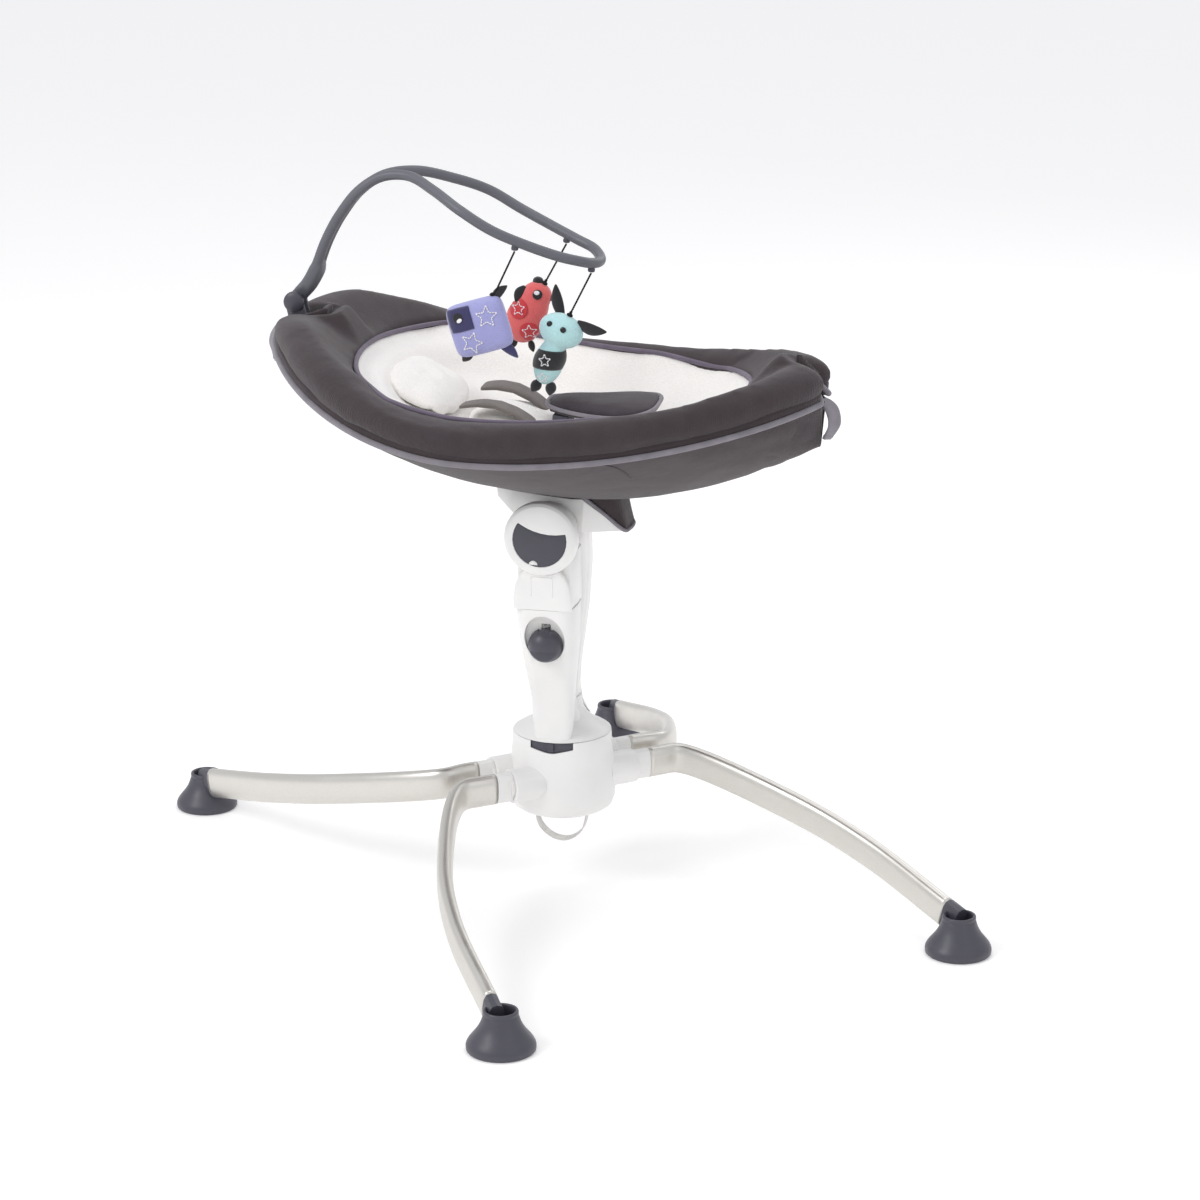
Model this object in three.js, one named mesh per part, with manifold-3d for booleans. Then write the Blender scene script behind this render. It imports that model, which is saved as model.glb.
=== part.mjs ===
// High swivelling bouncer seat: four folding oval legs, a swivel hub, a height-adjusting mast,
// a reclining padded cradle and a toy arch.
// Millimetres, +Z up. The origin is on the floor, on the swivel axis. The cradle lies along X with
// its head end towards -X, and the front of the mast faces -Y.
import * as THREE from 'three';
import { mergeVertices } from 'three/addons/utils/BufferGeometryUtils.js';
import { ParametricGeometry } from 'three/addons/geometries/ParametricGeometry.js';
import Module from 'manifold-3d';

// ---------------------------------------------------------------- driving dimensions
const GAP = 0.4; // clearance left between pieces that touch
const BASE_TURN = 40.6; // degrees from +X to the direction of the leg sockets
const HINGE_HEIGHT = 488; // recline axis above the floor
const SEAT_TILT = 4.8; // degrees, head end up, at the lying position

const HUB = { bottom: 100, top: 203.6, foot: 69, crown: 63.7, webRadius: 24, webTop: 183, webBottom: 178 };
const SOCKET = { height: 147, offset: 27, radius: 22, bore: 15.4, inner: 48, end: 88 };
const SLEEVE = { end: 110, halfHeight: 20, halfWidth: 11, plug: 18 };
const TUBE = { halfHeight: 20, halfWidth: 10, wall: 2 };
const LEG_PATH = [
  [110.8, 27, 147], [130, 27, 147], [159, 28, 145], [249, 170, 107], [290, 286, 78], [315, 432, 42.5],
];
const END_CAP = { reach: 25, plug: 18 };
const FOOT = { along: 315, across: 460, radius: 41.3, height: 50, collar: 19, bore: 16.5 };

const TURRET = { bottom: 188.4, skirt: 59.2, lip: 63.3, neck: 25, neckTop: 250 };
const COLUMN = { half: 14, wall: 2.5, bottom: 221, top: 440 };
const CARRIAGE = { half: 17.6, bottom: 262, top: 470 };
const COVER_SEAM = 394; // height of the seam between the lower and upper front covers
const LATCH = { height: 343, radius: 22, floor: -84 };
const BARREL = { radius: 27, front: -64, back: 38, drumRadius: 36, drumFront: -98, drumBack: -62 };
const AXLE_RADIUS = 9;
const DIAL = { radius: 47, front: -117.5, back: -100.4, smileRadius: 34.6, smileSag: 75, turn: 6 };

const RIM = { centre: -95, head: 282, foot: 416, halfWidth: 262, dipHeight: 122, dipAt: -80 };
const KEEL = { height: 34, rise: 0.001 };
const LINER = {
  head: 173, foot: 319, halfWidth: 245, clearance: 34, bowl: 100, lift: 50, footDrop: 14, headDrop: 11,
};
const BORDER = {
  overhang: 10, crestAt: 24, outerLevel: 30, outerHalf: 22, innerHalf: 14, linerGap: 4, under: 0.66,
};
const ARCH_PIVOT = [-365, 0, 233];
const ARCH_RADIUS = 6.5;

// ---------------------------------------------------------------- finishes
const finish = (color, roughness, metalness = 0) => ({ color, roughness, metalness });
const WHITE_PLASTIC = finish(0xebeae8, 0.35);
const DARK_PLASTIC = finish(0x4b4a54, 0.4);
const GREY_PLASTIC = finish(0x63646c, 0.45);
const SATIN_ALUMINIUM = finish(0xcfccc6, 0.32, 0.9);
const STEEL = finish(0xa9abb0, 0.3, 1);
const CHARCOAL_FABRIC = finish(0x4a4347, 0.95);
const GREY_FABRIC = finish(0x8a8a92, 0.9);
const WHITE_FABRIC = finish(0xf2efec, 0.95);
const WHITE_WEBBING = finish(0xe6e4e1, 0.8);
const STRAP_FABRIC = finish(0x6f6864, 0.9);
const LAVENDER_PLUSH = finish(0x9d9fd0, 0.95);
const CORAL_PLUSH = finish(0xe35d5f, 0.95);
const AQUA_PLUSH = finish(0xa9d9dc, 0.95);
const BLACK_CORD = finish(0x1d1c20, 0.8);

// ---------------------------------------------------------------- shape tools
const wasm = await Module();
wasm.setup();
const radians = THREE.MathUtils.degToRad;

function signedVolume(position, index) {
  const [a, b, c] = [new THREE.Vector3(), new THREE.Vector3(), new THREE.Vector3()];
  let volume = 0;
  for (let i = 0; i < index.length; i += 3) {
    a.fromBufferAttribute(position, index[i]);
    b.fromBufferAttribute(position, index[i + 1]);
    c.fromBufferAttribute(position, index[i + 2]);
    volume += a.dot(b.cross(c));
  }
  return volume;
}

// A closed mesh with merged vertices, no collapsed triangles and its faces pointing out.
function weld(geometry) {
  const bare = new THREE.BufferGeometry();
  bare.setAttribute('position', geometry.getAttribute('position').clone());
  if (geometry.index) bare.setIndex(geometry.index.clone());
  const merged = mergeVertices(bare, 1e-3);
  const from = merged.index.array;
  const kept = [];
  for (let i = 0; i < from.length; i += 3) {
    const [a, b, c] = [from[i], from[i + 1], from[i + 2]];
    if (a !== b && b !== c && c !== a) kept.push(a, b, c);
  }
  if (signedVolume(merged.getAttribute('position'), kept) < 0) kept.reverse();
  merged.setIndex(kept);
  return merged;
}

function toSolid(shape) {
  if (!shape.isBufferGeometry) return shape;
  const closed = weld(shape);
  const vertProperties = new Float32Array(closed.getAttribute('position').array);
  const triVerts = new Uint32Array(closed.index.array);
  return new wasm.Manifold(new wasm.Mesh({ numProp: 3, vertProperties, triVerts }));
}

function toGeometry(solid) {
  const mesh = solid.getMesh();
  const geometry = new THREE.BufferGeometry();
  geometry.setAttribute('position', new THREE.BufferAttribute(new Float32Array(mesh.vertProperties), 3));
  geometry.setIndex(Array.from(mesh.triVerts));
  return geometry;
}

const fuse = (first, ...others) => others.reduce((sum, next) => sum.add(toSolid(next)), toSolid(first));
const cut = (first, ...others) => others.reduce((rest, next) => rest.subtract(toSolid(next)), toSolid(first));
const common = (first, second) => toSolid(first).intersect(toSolid(second));

function block([x0, y0, z0], [x1, y1, z1]) {
  return new THREE.BoxGeometry(x1 - x0, y1 - y0, z1 - z0)
    .translate((x0 + x1) / 2, (y0 + y1) / 2, (z0 + z1) / 2);
}

// A cylinder, or a cone where the end radius differs, between two points.
function rod(radius, from, to, sides = 20, endRadius = radius) {
  const start = new THREE.Vector3(...from);
  const end = new THREE.Vector3(...to);
  const along = end.clone().sub(start);
  const geometry = new THREE.CylinderGeometry(endRadius, radius, along.length(), sides);
  const turn = new THREE.Quaternion().setFromUnitVectors(new THREE.Vector3(0, 1, 0), along.normalize());
  const middle = start.add(end).multiplyScalar(0.5);
  return geometry.applyQuaternion(turn).translate(middle.x, middle.y, middle.z);
}

// A solid of revolution about Z from [radius, height] points.
function lathe(profile, sides = 32) {
  const points = profile.map(([radius, height]) => new THREE.Vector2(radius, height));
  return new THREE.LatheGeometry(points, sides).rotateX(Math.PI / 2);
}

// The same about Y: [radius, y] points.
const latheY = (profile, sides = 32) => lathe(profile, sides).rotateX(-Math.PI / 2);

// An outline of [x, z] points, extruded from y0 to y1.
function slab(outline, y0, y1) {
  const shape = new THREE.Shape(outline.map(([x, z]) => new THREE.Vector2(x, z)));
  const geometry = new THREE.ExtrudeGeometry(shape, { depth: y1 - y0, bevelEnabled: false });
  return geometry.rotateX(Math.PI / 2).translate(0, y1, 0);
}

// A sector of a ring about Z that is centred on -Y.
function ringSector(inner, outer, halfAngle, z0, z1) {
  const shape = new THREE.Shape();
  const middle = -Math.PI / 2;
  shape.absarc(0, 0, outer, middle - radians(halfAngle), middle + radians(halfAngle), false);
  shape.absarc(0, 0, inner, middle + radians(halfAngle), middle - radians(halfAngle), true);
  return new THREE.ExtrudeGeometry(shape, { depth: z1 - z0, bevelEnabled: false, curveSegments: 10 })
    .translate(0, 0, z0);
}

// A round tube, solid, along a curve.
function roundBar(curve, radius, steps, sides = 8) {
  const shape = new THREE.Shape();
  for (let i = 0; i < sides; i += 1) {
    const angle = (2 * Math.PI * i) / sides;
    const point = [radius * Math.cos(angle), radius * Math.sin(angle)];
    if (i === 0) shape.moveTo(...point);
    else shape.lineTo(...point);
  }
  const settings = { steps, extrudePath: curve, bevelEnabled: false, curveSegments: 1 };
  return new THREE.ExtrudeGeometry(shape, settings);
}

const smooth = (points) => new THREE.CatmullRomCurve3(points.map((p) => new THREE.Vector3(...p)));

// A bar of flat oval section along a curve. "across" is the direction of the section's width; when
// it is left out the width stays level.
function ovalBar(curve, halfHeight, halfWidth, steps, across = null, around = 12, squareness = 0.75) {
  const rows = steps + 3;
  return new ParametricGeometry((u, v, target) => {
    const row = Math.round(v * (rows - 1));
    const t = THREE.MathUtils.clamp((row - 1) / steps, 0, 1);
    const along = curve.getTangentAt(t);
    const side = across ? across.clone() : new THREE.Vector3(0, 0, 1).cross(along);
    side.addScaledVector(along, -side.dot(along)).normalize();
    const rise = along.clone().cross(side);
    const size = row === 0 || row === rows - 1 ? 0 : 1;
    const angle = 2 * Math.PI * u;
    target.copy(curve.getPointAt(t));
    target.addScaledVector(side, size * halfWidth * rounded(Math.cos(angle), squareness));
    target.addScaledVector(rise, size * halfHeight * rounded(Math.sin(angle), squareness));
  }, around, rows - 1);
}

const TINY = 1e-9; // below this a sine or cosine counts as zero
const rounded = (value, power) => (Math.abs(value) < TINY ? 0 : Math.sign(value) * Math.abs(value) ** power);

// A casing of rounded rectangular section, from levels of [z, half width, front y, back y].
function casing(levels, around = 20, squareness = 0.5) {
  const rows = levels.length + 2;
  return new ParametricGeometry((u, v, target) => {
    const row = Math.round(v * (rows - 1));
    const [z, halfWidth, front, back] = levels[THREE.MathUtils.clamp(row - 1, 0, levels.length - 1)];
    const size = row === 0 || row === rows - 1 ? 0 : 1;
    const angle = 2 * Math.PI * u;
    const x = size * halfWidth * rounded(Math.cos(angle), squareness);
    const y = (front + back) / 2 + (size * (back - front) * rounded(Math.sin(angle), squareness)) / 2;
    target.set(x, y, z);
  }, around, rows - 1);
}

// A closed sheet between two height fields. Each side is [outline, height]: outline(turn) gives the
// edge's [x, y] and height(x, y, reach) the z, where reach runs from 0 at the centre to 1 at the edge.
function layer(lower, upper, centre, around, rings) {
  const rows = 2 * rings + 2;
  return new ParametricGeometry((u, v, target) => {
    const row = Math.round(v * (rows - 1));
    const isLower = row <= rings;
    const [outline, height] = isLower ? lower : upper;
    const reach = 1 - (1 - (isLower ? row : rows - 1 - row) / rings) ** 1.8;
    const [edgeX, edgeY] = outline(u);
    const x = centre[0] + (edgeX - centre[0]) * reach;
    const y = centre[1] + (edgeY - centre[1]) * reach;
    target.set(x, y, height(x, y, reach));
  }, around, rows - 1);
}

function coil(radius, wire, bottom, top, turns) {
  const points = [];
  for (let i = 0; i <= turns * 8; i += 1) {
    const angle = (Math.PI * i) / 4;
    const z = bottom + wire + ((top - bottom - 2 * wire) * i) / (turns * 8);
    points.push([radius * Math.cos(angle), radius * Math.sin(angle), z]);
  }
  return roundBar(smooth(points), wire, turns * 8, 5);
}

function piece(parent, name, shape, look) {
  const geometry = shape.isBufferGeometry ? weld(shape) : toGeometry(shape);
  const mesh = new THREE.Mesh(geometry, new THREE.MeshStandardMaterial(look));
  mesh.name = name;
  parent.add(mesh);
  return mesh;
}

// ---------------------------------------------------------------- groups
const bouncer = new THREE.Group();
const base = new THREE.Group();
base.rotation.z = radians(BASE_TURN);
bouncer.add(base);
const seat = new THREE.Group();
seat.position.z = HINGE_HEIGHT;
seat.rotation.y = radians(SEAT_TILT);
bouncer.add(seat);

// ---------------------------------------------------------------- hub
const lockOutline = (halfWidth, grow) => [
  [-halfWidth, HUB.top + grow], [halfWidth, HUB.top + grow], [halfWidth, 195 - grow],
  [4, 190.6 - grow], [-4, 190.6 - grow], [-halfWidth, 195 - grow],
];

function hubDrum() {
  const { webRadius, webTop, webBottom } = HUB;
  const shell = lathe([
    [46, 100], [58, 101], [65, 106], [68.5, 116], [HUB.foot, 128], [67, 160], [64.3, 192], [HUB.crown, HUB.top],
    [60.7, HUB.top], [61, webTop], [webRadius, webTop], [webRadius, webBottom], [62.5, webBottom], [64, 160],
    [66, 128], [61, 107], [46, 104], [46, 100],
  ], 36);
  const bosses = [];
  const bores = [];
  for (const side of [-1, 1]) {
    for (const across of [-SOCKET.offset, SOCKET.offset]) {
      const at = (reach) => [side * reach, across, SOCKET.height];
      bosses.push(rod(SOCKET.radius, at(SOCKET.inner), at(SOCKET.end), 20).rotateZ(radians(BASE_TURN)));
      bores.push(rod(SOCKET.bore, at(SOCKET.inner - 1), at(SOCKET.end + 1), 16).rotateZ(radians(BASE_TURN)));
    }
  }
  const track = ringSector(59.8, 62.1, 42, 189.6, HUB.top + 1);
  const slot = common(ringSector(59.8, 66, 34, 188, HUB.top + 1), slab(lockOutline(28, 0.6), -70, -40));
  return cut(fuse(shell, ...bosses), ...bores, track, slot);
}

const hubFloor = () => cut(
  rod(45.4, [0, 0, 100.4], [0, 0, 103.4], 32),
  block([-36.5, -10.5, 99], [-31.5, 10.5, 105]),
  block([31.5, -10.5, 99], [36.5, 10.5, 105]),
);

const swivelBearing = () => lathe([
  [27, HUB.webTop + GAP], [44, HUB.webTop + GAP], [44, TURRET.bottom - GAP], [27, TURRET.bottom - GAP],
  [27, HUB.webTop + GAP],
], 28);

function swivelLockSlider() {
  const plate = ringSector(60.2, 61.7, 34, 190.2, HUB.top - GAP);
  const rib = ringSector(61, 66, 3.2, 192.8, HUB.top - GAP);
  return fuse(plate, rib);
}

function foldReleasePlate() {
  return cut(rod(40, [0, 0, 140], [0, 0, 143.4], 28), rod(6, [0, 0, 139], [0, 0, 144], 12));
}

function pullStrap() {
  const route = smooth([
    [-34, 0, 139.6], [-34, 0, 116], [-34, 0, 92], [-29, 0, 70], [-12, 0, 55], [8, 0, 53],
    [26, 0, 66], [33, 0, 88], [34, 0, 104], [34, 0, 139.6],
  ]);
  return ovalBar(route, 0.9, 9, 22, new THREE.Vector3(0, 1, 0), 8, 0.4);
}

function makeHub() {
  piece(bouncer, 'hub_drum', hubDrum(), WHITE_PLASTIC);
  piece(bouncer, 'hub_floor', hubFloor(), WHITE_PLASTIC);
  piece(bouncer, 'swivel_bearing', swivelBearing(), STEEL);
  piece(bouncer, 'swivel_lock_slider', swivelLockSlider(), DARK_PLASTIC);
  piece(bouncer, 'fold_release_plate', foldReleasePlate(), GREY_PLASTIC);
  piece(bouncer, 'fold_release_spring', coil(14, 1.3, 103.8, 139.6, 4), STEEL);
  piece(bouncer, 'pull_strap', pullStrap(), WHITE_WEBBING);
}

// ---------------------------------------------------------------- legs
const legCurve = (hand) => smooth(LEG_PATH.map(([along, across, z]) => [along, hand * across, z]));
const straight = (from, to) => new THREE.LineCurve3(from, to);

function legSleeve(hand) {
  const at = (reach) => [reach, hand * SOCKET.offset, SOCKET.height];
  const line = (from, to) => straight(new THREE.Vector3(...at(from)), new THREE.Vector3(...at(to)));
  const spigot = rod(SOCKET.bore - GAP - 0.1, at(56), at(SOCKET.end + 4), 16);
  const body = ovalBar(line(SOCKET.end + GAP, SLEEVE.end), SLEEVE.halfHeight, SLEEVE.halfWidth, 1);
  const plugHalf = [TUBE.halfHeight - TUBE.wall - 2, TUBE.halfWidth - TUBE.wall - 2];
  const plug = ovalBar(line(SLEEVE.end - 4, SLEEVE.end + SLEEVE.plug), ...plugHalf, 1);
  return fuse(spigot, body, plug);
}

function legTube(hand) {
  const outer = legCurve(hand);
  const points = LEG_PATH.map(([along, across, z]) => new THREE.Vector3(along, hand * across, z));
  const first = points[0].clone().add(new THREE.Vector3(-3, 0, 0));
  const last = points.at(-1).clone().addScaledVector(outer.getTangentAt(1), 3);
  const inner = new THREE.CatmullRomCurve3([first, ...points, last]);
  const hollow = ovalBar(inner, TUBE.halfHeight - TUBE.wall, TUBE.halfWidth - TUBE.wall, 14, null, 10);
  return cut(ovalBar(outer, TUBE.halfHeight, TUBE.halfWidth, 14), hollow);
}

// A straight oval bar on the line of the tube's outer end, between two distances from that end.
function tubeEndBar(hand, from, to, halfHeight, halfWidth) {
  const curve = legCurve(hand);
  const end = curve.getPointAt(1);
  const outwards = curve.getTangentAt(1);
  const start = end.clone().addScaledVector(outwards, from);
  return ovalBar(straight(start, end.clone().addScaledVector(outwards, to)), halfHeight, halfWidth, 1);
}

function legEndCap(hand) {
  const body = tubeEndBar(hand, GAP, END_CAP.reach, TUBE.halfHeight, TUBE.halfWidth);
  const plugHalf = [TUBE.halfHeight - TUBE.wall - 2, TUBE.halfWidth - TUBE.wall - 2];
  return fuse(body, tubeEndBar(hand, -END_CAP.plug, 3, ...plugHalf));
}

function foot(hand) {
  const { along, across, radius, height, collar, bore } = FOOT;
  const bell = lathe([
    [0, 0], [radius - 1.5, 0], [radius, 2.5], [radius, 8], [38.5, 14], [32, 21], [26, 28.5], [21.8, 36.5],
    [collar, height], [0, height],
  ], 24);
  const mouth = rod(bore, [0, 0, 26], [0, 0, height + 1], 16);
  const centred = cut(bell, mouth).translate([along, hand * across, 0]);
  const clearance = tubeEndBar(hand, -40, END_CAP.reach + GAP, TUBE.halfHeight + GAP, TUBE.halfWidth + GAP);
  return cut(centred, clearance);
}

function makeLegs() {
  const legs = [['right', -1, 0], ['left', -1, 180], ['rear', 1, 0], ['front', 1, 180]];
  for (const [name, hand, turn] of legs) {
    const leg = new THREE.Group();
    leg.rotation.z = radians(turn);
    base.add(leg);
    piece(leg, `leg_sleeve_${name}`, legSleeve(hand), WHITE_PLASTIC);
    piece(leg, `leg_tube_${name}`, legTube(hand), SATIN_ALUMINIUM);
    piece(leg, `leg_end_cap_${name}`, legEndCap(hand), DARK_PLASTIC);
    piece(leg, `foot_${name}`, foot(hand), DARK_PLASTIC);
  }
}

// ---------------------------------------------------------------- turret, the part that swivels
const DOME = [
  [TURRET.lip, 204.3], [60, 206.5], [54, 210], [47, 214], [40, 219], [34, 225], [29, 233], [26, 242],
  [TURRET.neck, TURRET.neckTop],
];

function turret() {
  const skirt = [[0, TURRET.bottom], [57.5, TURRET.bottom], [TURRET.skirt, 190], [TURRET.skirt, 204.3]];
  const dome = lathe([...skirt, ...DOME, [0, TURRET.neckTop]], 36);
  const cavity = lathe([[0, 187], [54, 187], [54, 198], [46, 208], [32, 216], [0, 219]], 20);
  const frontCover = casing([
    [206, 23, -57, -33], [222, 25, -58.5, -33], [240, 26.5, -60, -33], [262, 27, -63, -33], [305, 32, -79, -33],
    [350, 36, -95.5, -33], [COVER_SEAM - 0.3, 38, -106, -33],
  ]);
  const coverHollow = casing([
    [262, 22, -46, -30], [305, 27, -61, -30], [345, 31, -75, -30], [COVER_SEAM - 4, 34, -84, -30],
  ], 16);
  const socket = COLUMN.half + GAP;
  const columnHole = block([-socket, -socket, 215], [socket, socket, 260]);
  const scoop = rod(1, [0, -115, 0], [0, LATCH.floor, 0], 32).scale(26, 1, 33).translate(0, 0, LATCH.height + 9.5);
  const stemSlot = block([-6, LATCH.floor - 1, 334], [6, -70, 370]);
  return cut(fuse(cut(dome, cavity), frontCover), coverHollow, columnHole, scoop, stemSlot);
}

function innerColumn() {
  const { half, wall, bottom, top } = COLUMN;
  const inside = half - wall;
  const tube = block([-half, -half, bottom], [half, half, top]);
  return cut(tube, block([-inside, -inside, bottom - 1], [inside, inside, top + 1]));
}

function heightLatch() {
  const { height, radius, floor } = LATCH;
  const knob = latheY([
    [0, -108], [7, -107], [13, -104.3], [17.5, -100.5], [20.6, -95.5], [radius, -90], [radius, floor - GAP],
    [0, floor - GAP],
  ], 28).translate(0, 0, height);
  const ledge = block([-30, -120, height - 30], [30, -100.5, height - 4]);
  const notches = [-1, 1].map((side) => (
    rod(2.6, [side * 7.5, -110, height + 21.5], [side * 7.5, floor, height + 21.5], 10)
  ));
  const stem = block([-5, floor - 2, 336], [5, -60, 350]);
  return fuse(cut(knob, ledge, ...notches), stem);
}

function makeTurret() {
  piece(bouncer, 'turret', turret(), WHITE_PLASTIC);
  piece(bouncer, 'inner_column', innerColumn(), SATIN_ALUMINIUM);
  piece(bouncer, 'height_latch', heightLatch(), DARK_PLASTIC);
  piece(bouncer, 'height_latch_spring', coil(4, 0.8, 350.4, 369.6, 4).translate(0, -77.5, 0), STEEL);
}

// ---------------------------------------------------------------- upper mast, which slides up
function rearShell() {
  const levels = [
    [204, 42, -31.5, 42], [212, 38.5, -31.5, 40], [225, 30.5, -31.5, 36], [239, 24, -31.5, 33],
    [262, 21, -31.5, 31],
    [290, 22.5, -31.5, 31], [320, 26.5, -31.5, 32], [372, 33.5, -31.5, 34], [426, 37, -31.5, 35],
    [466, 36.4, -31.5, 35], [478, 35, -31.5, 34],
  ];
  const shell = casing(levels);
  const hole = CARRIAGE.half + GAP;
  const bore = block([-hole, -hole, 200], [hole, hole, 480]);
  const flutes = [-1, 1].map((side) => {
    const line = levels.slice(2).map(([z, halfWidth]) => [side * (halfWidth + 4.2), -8, z]);
    return roundBar(smooth(line), 6, 14, 8);
  });
  const domeClearance = lathe([
    [0, 180], [68, 180], [TURRET.lip + 1, 204.3], ...DOME.slice(1).map(([radius, z]) => [radius + 0.8, z + 0.6]),
    [0, TURRET.neckTop + 0.6],
  ], 36);
  const barrelSeat = rod(BARREL.radius + GAP, [0, -40, HINGE_HEIGHT], [0, 50, HINGE_HEIGHT], 28);
  return cut(shell, bore, barrelSeat, domeClearance, ...flutes);
}

function headHousing() {
  const { half, bottom, top } = CARRIAGE;
  const { radius, front, back, drumRadius, drumFront, drumBack } = BARREL;
  const carriage = block([-half, -half, bottom], [half, half, top]);
  const barrel = rod(radius, [0, front, HINGE_HEIGHT], [0, back, HINGE_HEIGHT], 28);
  const drum = rod(drumRadius, [0, drumFront, HINGE_HEIGHT], [0, drumBack, HINGE_HEIGHT], 32);
  const body = casing([[COVER_SEAM + 1, 36.6, -95.6, -33], [464, 36.4, -95.6, -33]], 16, 0.3);
  const hollow = casing([[COVER_SEAM - 4, 33, -92, -30], [450, 33, -92, -30]], 16, 0.3);
  const slide = COLUMN.half + GAP;
  const columnHole = block([-slide, -slide, bottom - 1], [slide, slide, 456]);
  const axleBore = rod(AXLE_RADIUS + GAP, [0, -110, HINGE_HEIGHT], [0, 45, HINGE_HEIGHT], 20);
  return cut(fuse(carriage, barrel, drum, cut(body, hollow)), columnHole, axleBore);
}

// A shallow cap on the front of the housing, cut round the dial.
function upperFrontCover() {
  const cap = casing([
    [COVER_SEAM + 0.3, 38, -106, -96], [410, 37.9, -107, -96], [426, 35.2, -107.5, -96], [438, 29.5, -107.8, -96],
    [452, 16, -108, -96],
  ], 18, 0.35);
  return cut(cap, rod(DIAL.radius + 1, [0, -125, HINGE_HEIGHT], [0, -90, HINGE_HEIGHT], 40));
}

function makeUpperMast() {
  piece(bouncer, 'head_housing', headHousing(), WHITE_PLASTIC);
  piece(bouncer, 'upper_front_cover', upperFrontCover(), WHITE_PLASTIC);
  piece(bouncer, 'rear_shell', rearShell(), WHITE_PLASTIC);
}

// ---------------------------------------------------------------- recline hinge, in the seat's frame
const reclineAxle = () => fuse(
  rod(AXLE_RADIUS, [0, DIAL.back + GAP, 0], [0, 58, 0], 20),
  rod(14, [0, 57.6, 0], [0, 62, 0], 20),
);

// The dark crescent of the release button: a disc cut by a sagging arc, turned a little with the dial.
function smile(radius, sagRadius, y0, y1) {
  const disc = rod(radius, [0, y0, 0], [0, y1, 0], 32);
  const centre = 9.4 + DIAL.smileSag;
  const above = rod(sagRadius, [0, y0 - 1, centre], [0, y1 + 1, centre], 48);
  return cut(disc, above).rotate([0, DIAL.turn, 0]);
}

function reclineDial() {
  const { radius, front, back, smileRadius, smileSag } = DIAL;
  const body = latheY([
    [0, front], [smileRadius, front], [radius - 4, front + 1.2], [radius - 0.8, front + 4], [radius, front + 7],
    [radius, back - 2.4], [radius - 2.4, back], [0, back],
  ], 36);
  const pocket = smile(smileRadius, smileSag, front - 3, back - 6);
  const stemHole = rod(5.4, [0, front, -8], [0, back + 1, -8], 12);
  return cut(body, pocket, stemHole);
}

function reclineButton() {
  const { front, back, smileRadius, smileSag } = DIAL;
  const face = smile(smileRadius - 0.5, smileSag + 0.5, front, front + 3.6);
  return fuse(face, rod(5, [0, front + 2, -8], [0, back - 4, -8], 12));
}

const reclineSpring = () => coil(7.4, 0.7, 0, 6.8, 3).rotateX(-Math.PI / 2)
  .translate(0, DIAL.front + 3.8, -8);

// Everything above the underside of the hull, for trimming what carries it.
function aboveHull() {
  const outline = (turn) => rimInset(turn, 0);
  return layer([outline, (x, y) => hullHeight(x, y) - 2], [outline, () => 260], [RIM.centre, 0], 40, 8);
}

function plan(outline) {
  const shape = new THREE.Shape(outline.map(([x, y]) => new THREE.Vector2(x, y)));
  return new THREE.ExtrudeGeometry(shape, { depth: 120, bevelEnabled: false }).translate(0, 0, -60);
}

// The bracket the cradle stands on: boat-shaped in plan, open below for the head of the mast.
function saddle() {
  const profile = [
    [-80, 56], [22, 56], [87, 0], [34, 0], [-34, 0], [-45, 6], [-51.5, 14.6], [-74, 28],
  ];
  const boat = [[-80, -42], [-54, -58], [40, -59], [89, -24], [89, 24], [40, 57], [-54, 57], [-80, 42]];
  const pocket = block([-44, -44, -20], [44, 40, 28]);
  const bore = rod(BARREL.radius + 0.6, [0, -70, 0], [0, BARREL.back + 1, 0], 28);
  const axleHole = rod(AXLE_RADIUS + GAP, [0, 30, 0], [0, 70, 0], 20);
  return cut(common(slab(profile, -62, 60), plan(boat)), pocket, bore, axleHole, aboveHull());
}

// The fabric gusset between the foot-end flank of the bracket and the hull.
function saddleSkirt() {
  const profile = [[32, 49], [89.4, -0.4], [91.4, 0.6], [76, 52]];
  const boat = [[40, -58], [90.6, -23], [90.6, 23], [40, 56]];
  return cut(common(slab(profile, -62, 60), plan(boat)), aboveHull());
}

function makeReclineHinge() {
  piece(seat, 'recline_axle', reclineAxle(), STEEL);
  piece(seat, 'recline_dial', reclineDial(), WHITE_PLASTIC);
  piece(seat, 'recline_button', reclineButton(), DARK_PLASTIC);
  piece(seat, 'recline_spring', reclineSpring(), STEEL);
  piece(seat, 'saddle_bracket', saddle(), WHITE_PLASTIC);
  piece(seat, 'saddle_skirt', saddleSkirt(), CHARCOAL_FABRIC);
}

// ---------------------------------------------------------------- cradle, in the seat's frame
// The cradle's rim is a leaf in plan: blunt at the head end, narrower at the foot end.
function rimHalfWidth(x) {
  const isHead = x < RIM.centre;
  const t = Math.min(1, Math.abs(x - RIM.centre) / (isHead ? RIM.head : RIM.foot));
  return isHead ? RIM.halfWidth * (1 - t ** 2) ** 0.55 : RIM.halfWidth * (1 - t ** 1.4) ** 0.6;
}

const rimHeight = (x) => RIM.dipHeight + (x < RIM.dipAt ? 8.2e-4 : 4.7e-4) * (x - RIM.dipAt) ** 2;
const keelHeight = (x) => KEEL.height + KEEL.rise * x ** 2;

// A point on the rim. The turn runs from 0 at the head end, along the -Y side, to 1.
function rimEdge(turn) {
  const angle = 2 * Math.PI * turn;
  const reach = Math.cos(angle);
  const x = RIM.centre - reach * (reach > 0 ? RIM.head : RIM.foot);
  return new THREE.Vector2(x, -Math.sign(Math.sin(angle)) * rimHalfWidth(x));
}

// The same point moved inwards, square to the rim.
function rimInset(turn, inset) {
  const step = 0.004;
  const along = rimEdge(turn + step).sub(rimEdge(turn - step)).normalize();
  const point = rimEdge(turn);
  return [point.x - along.y * inset, point.y + along.x * inset];
}

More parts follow.
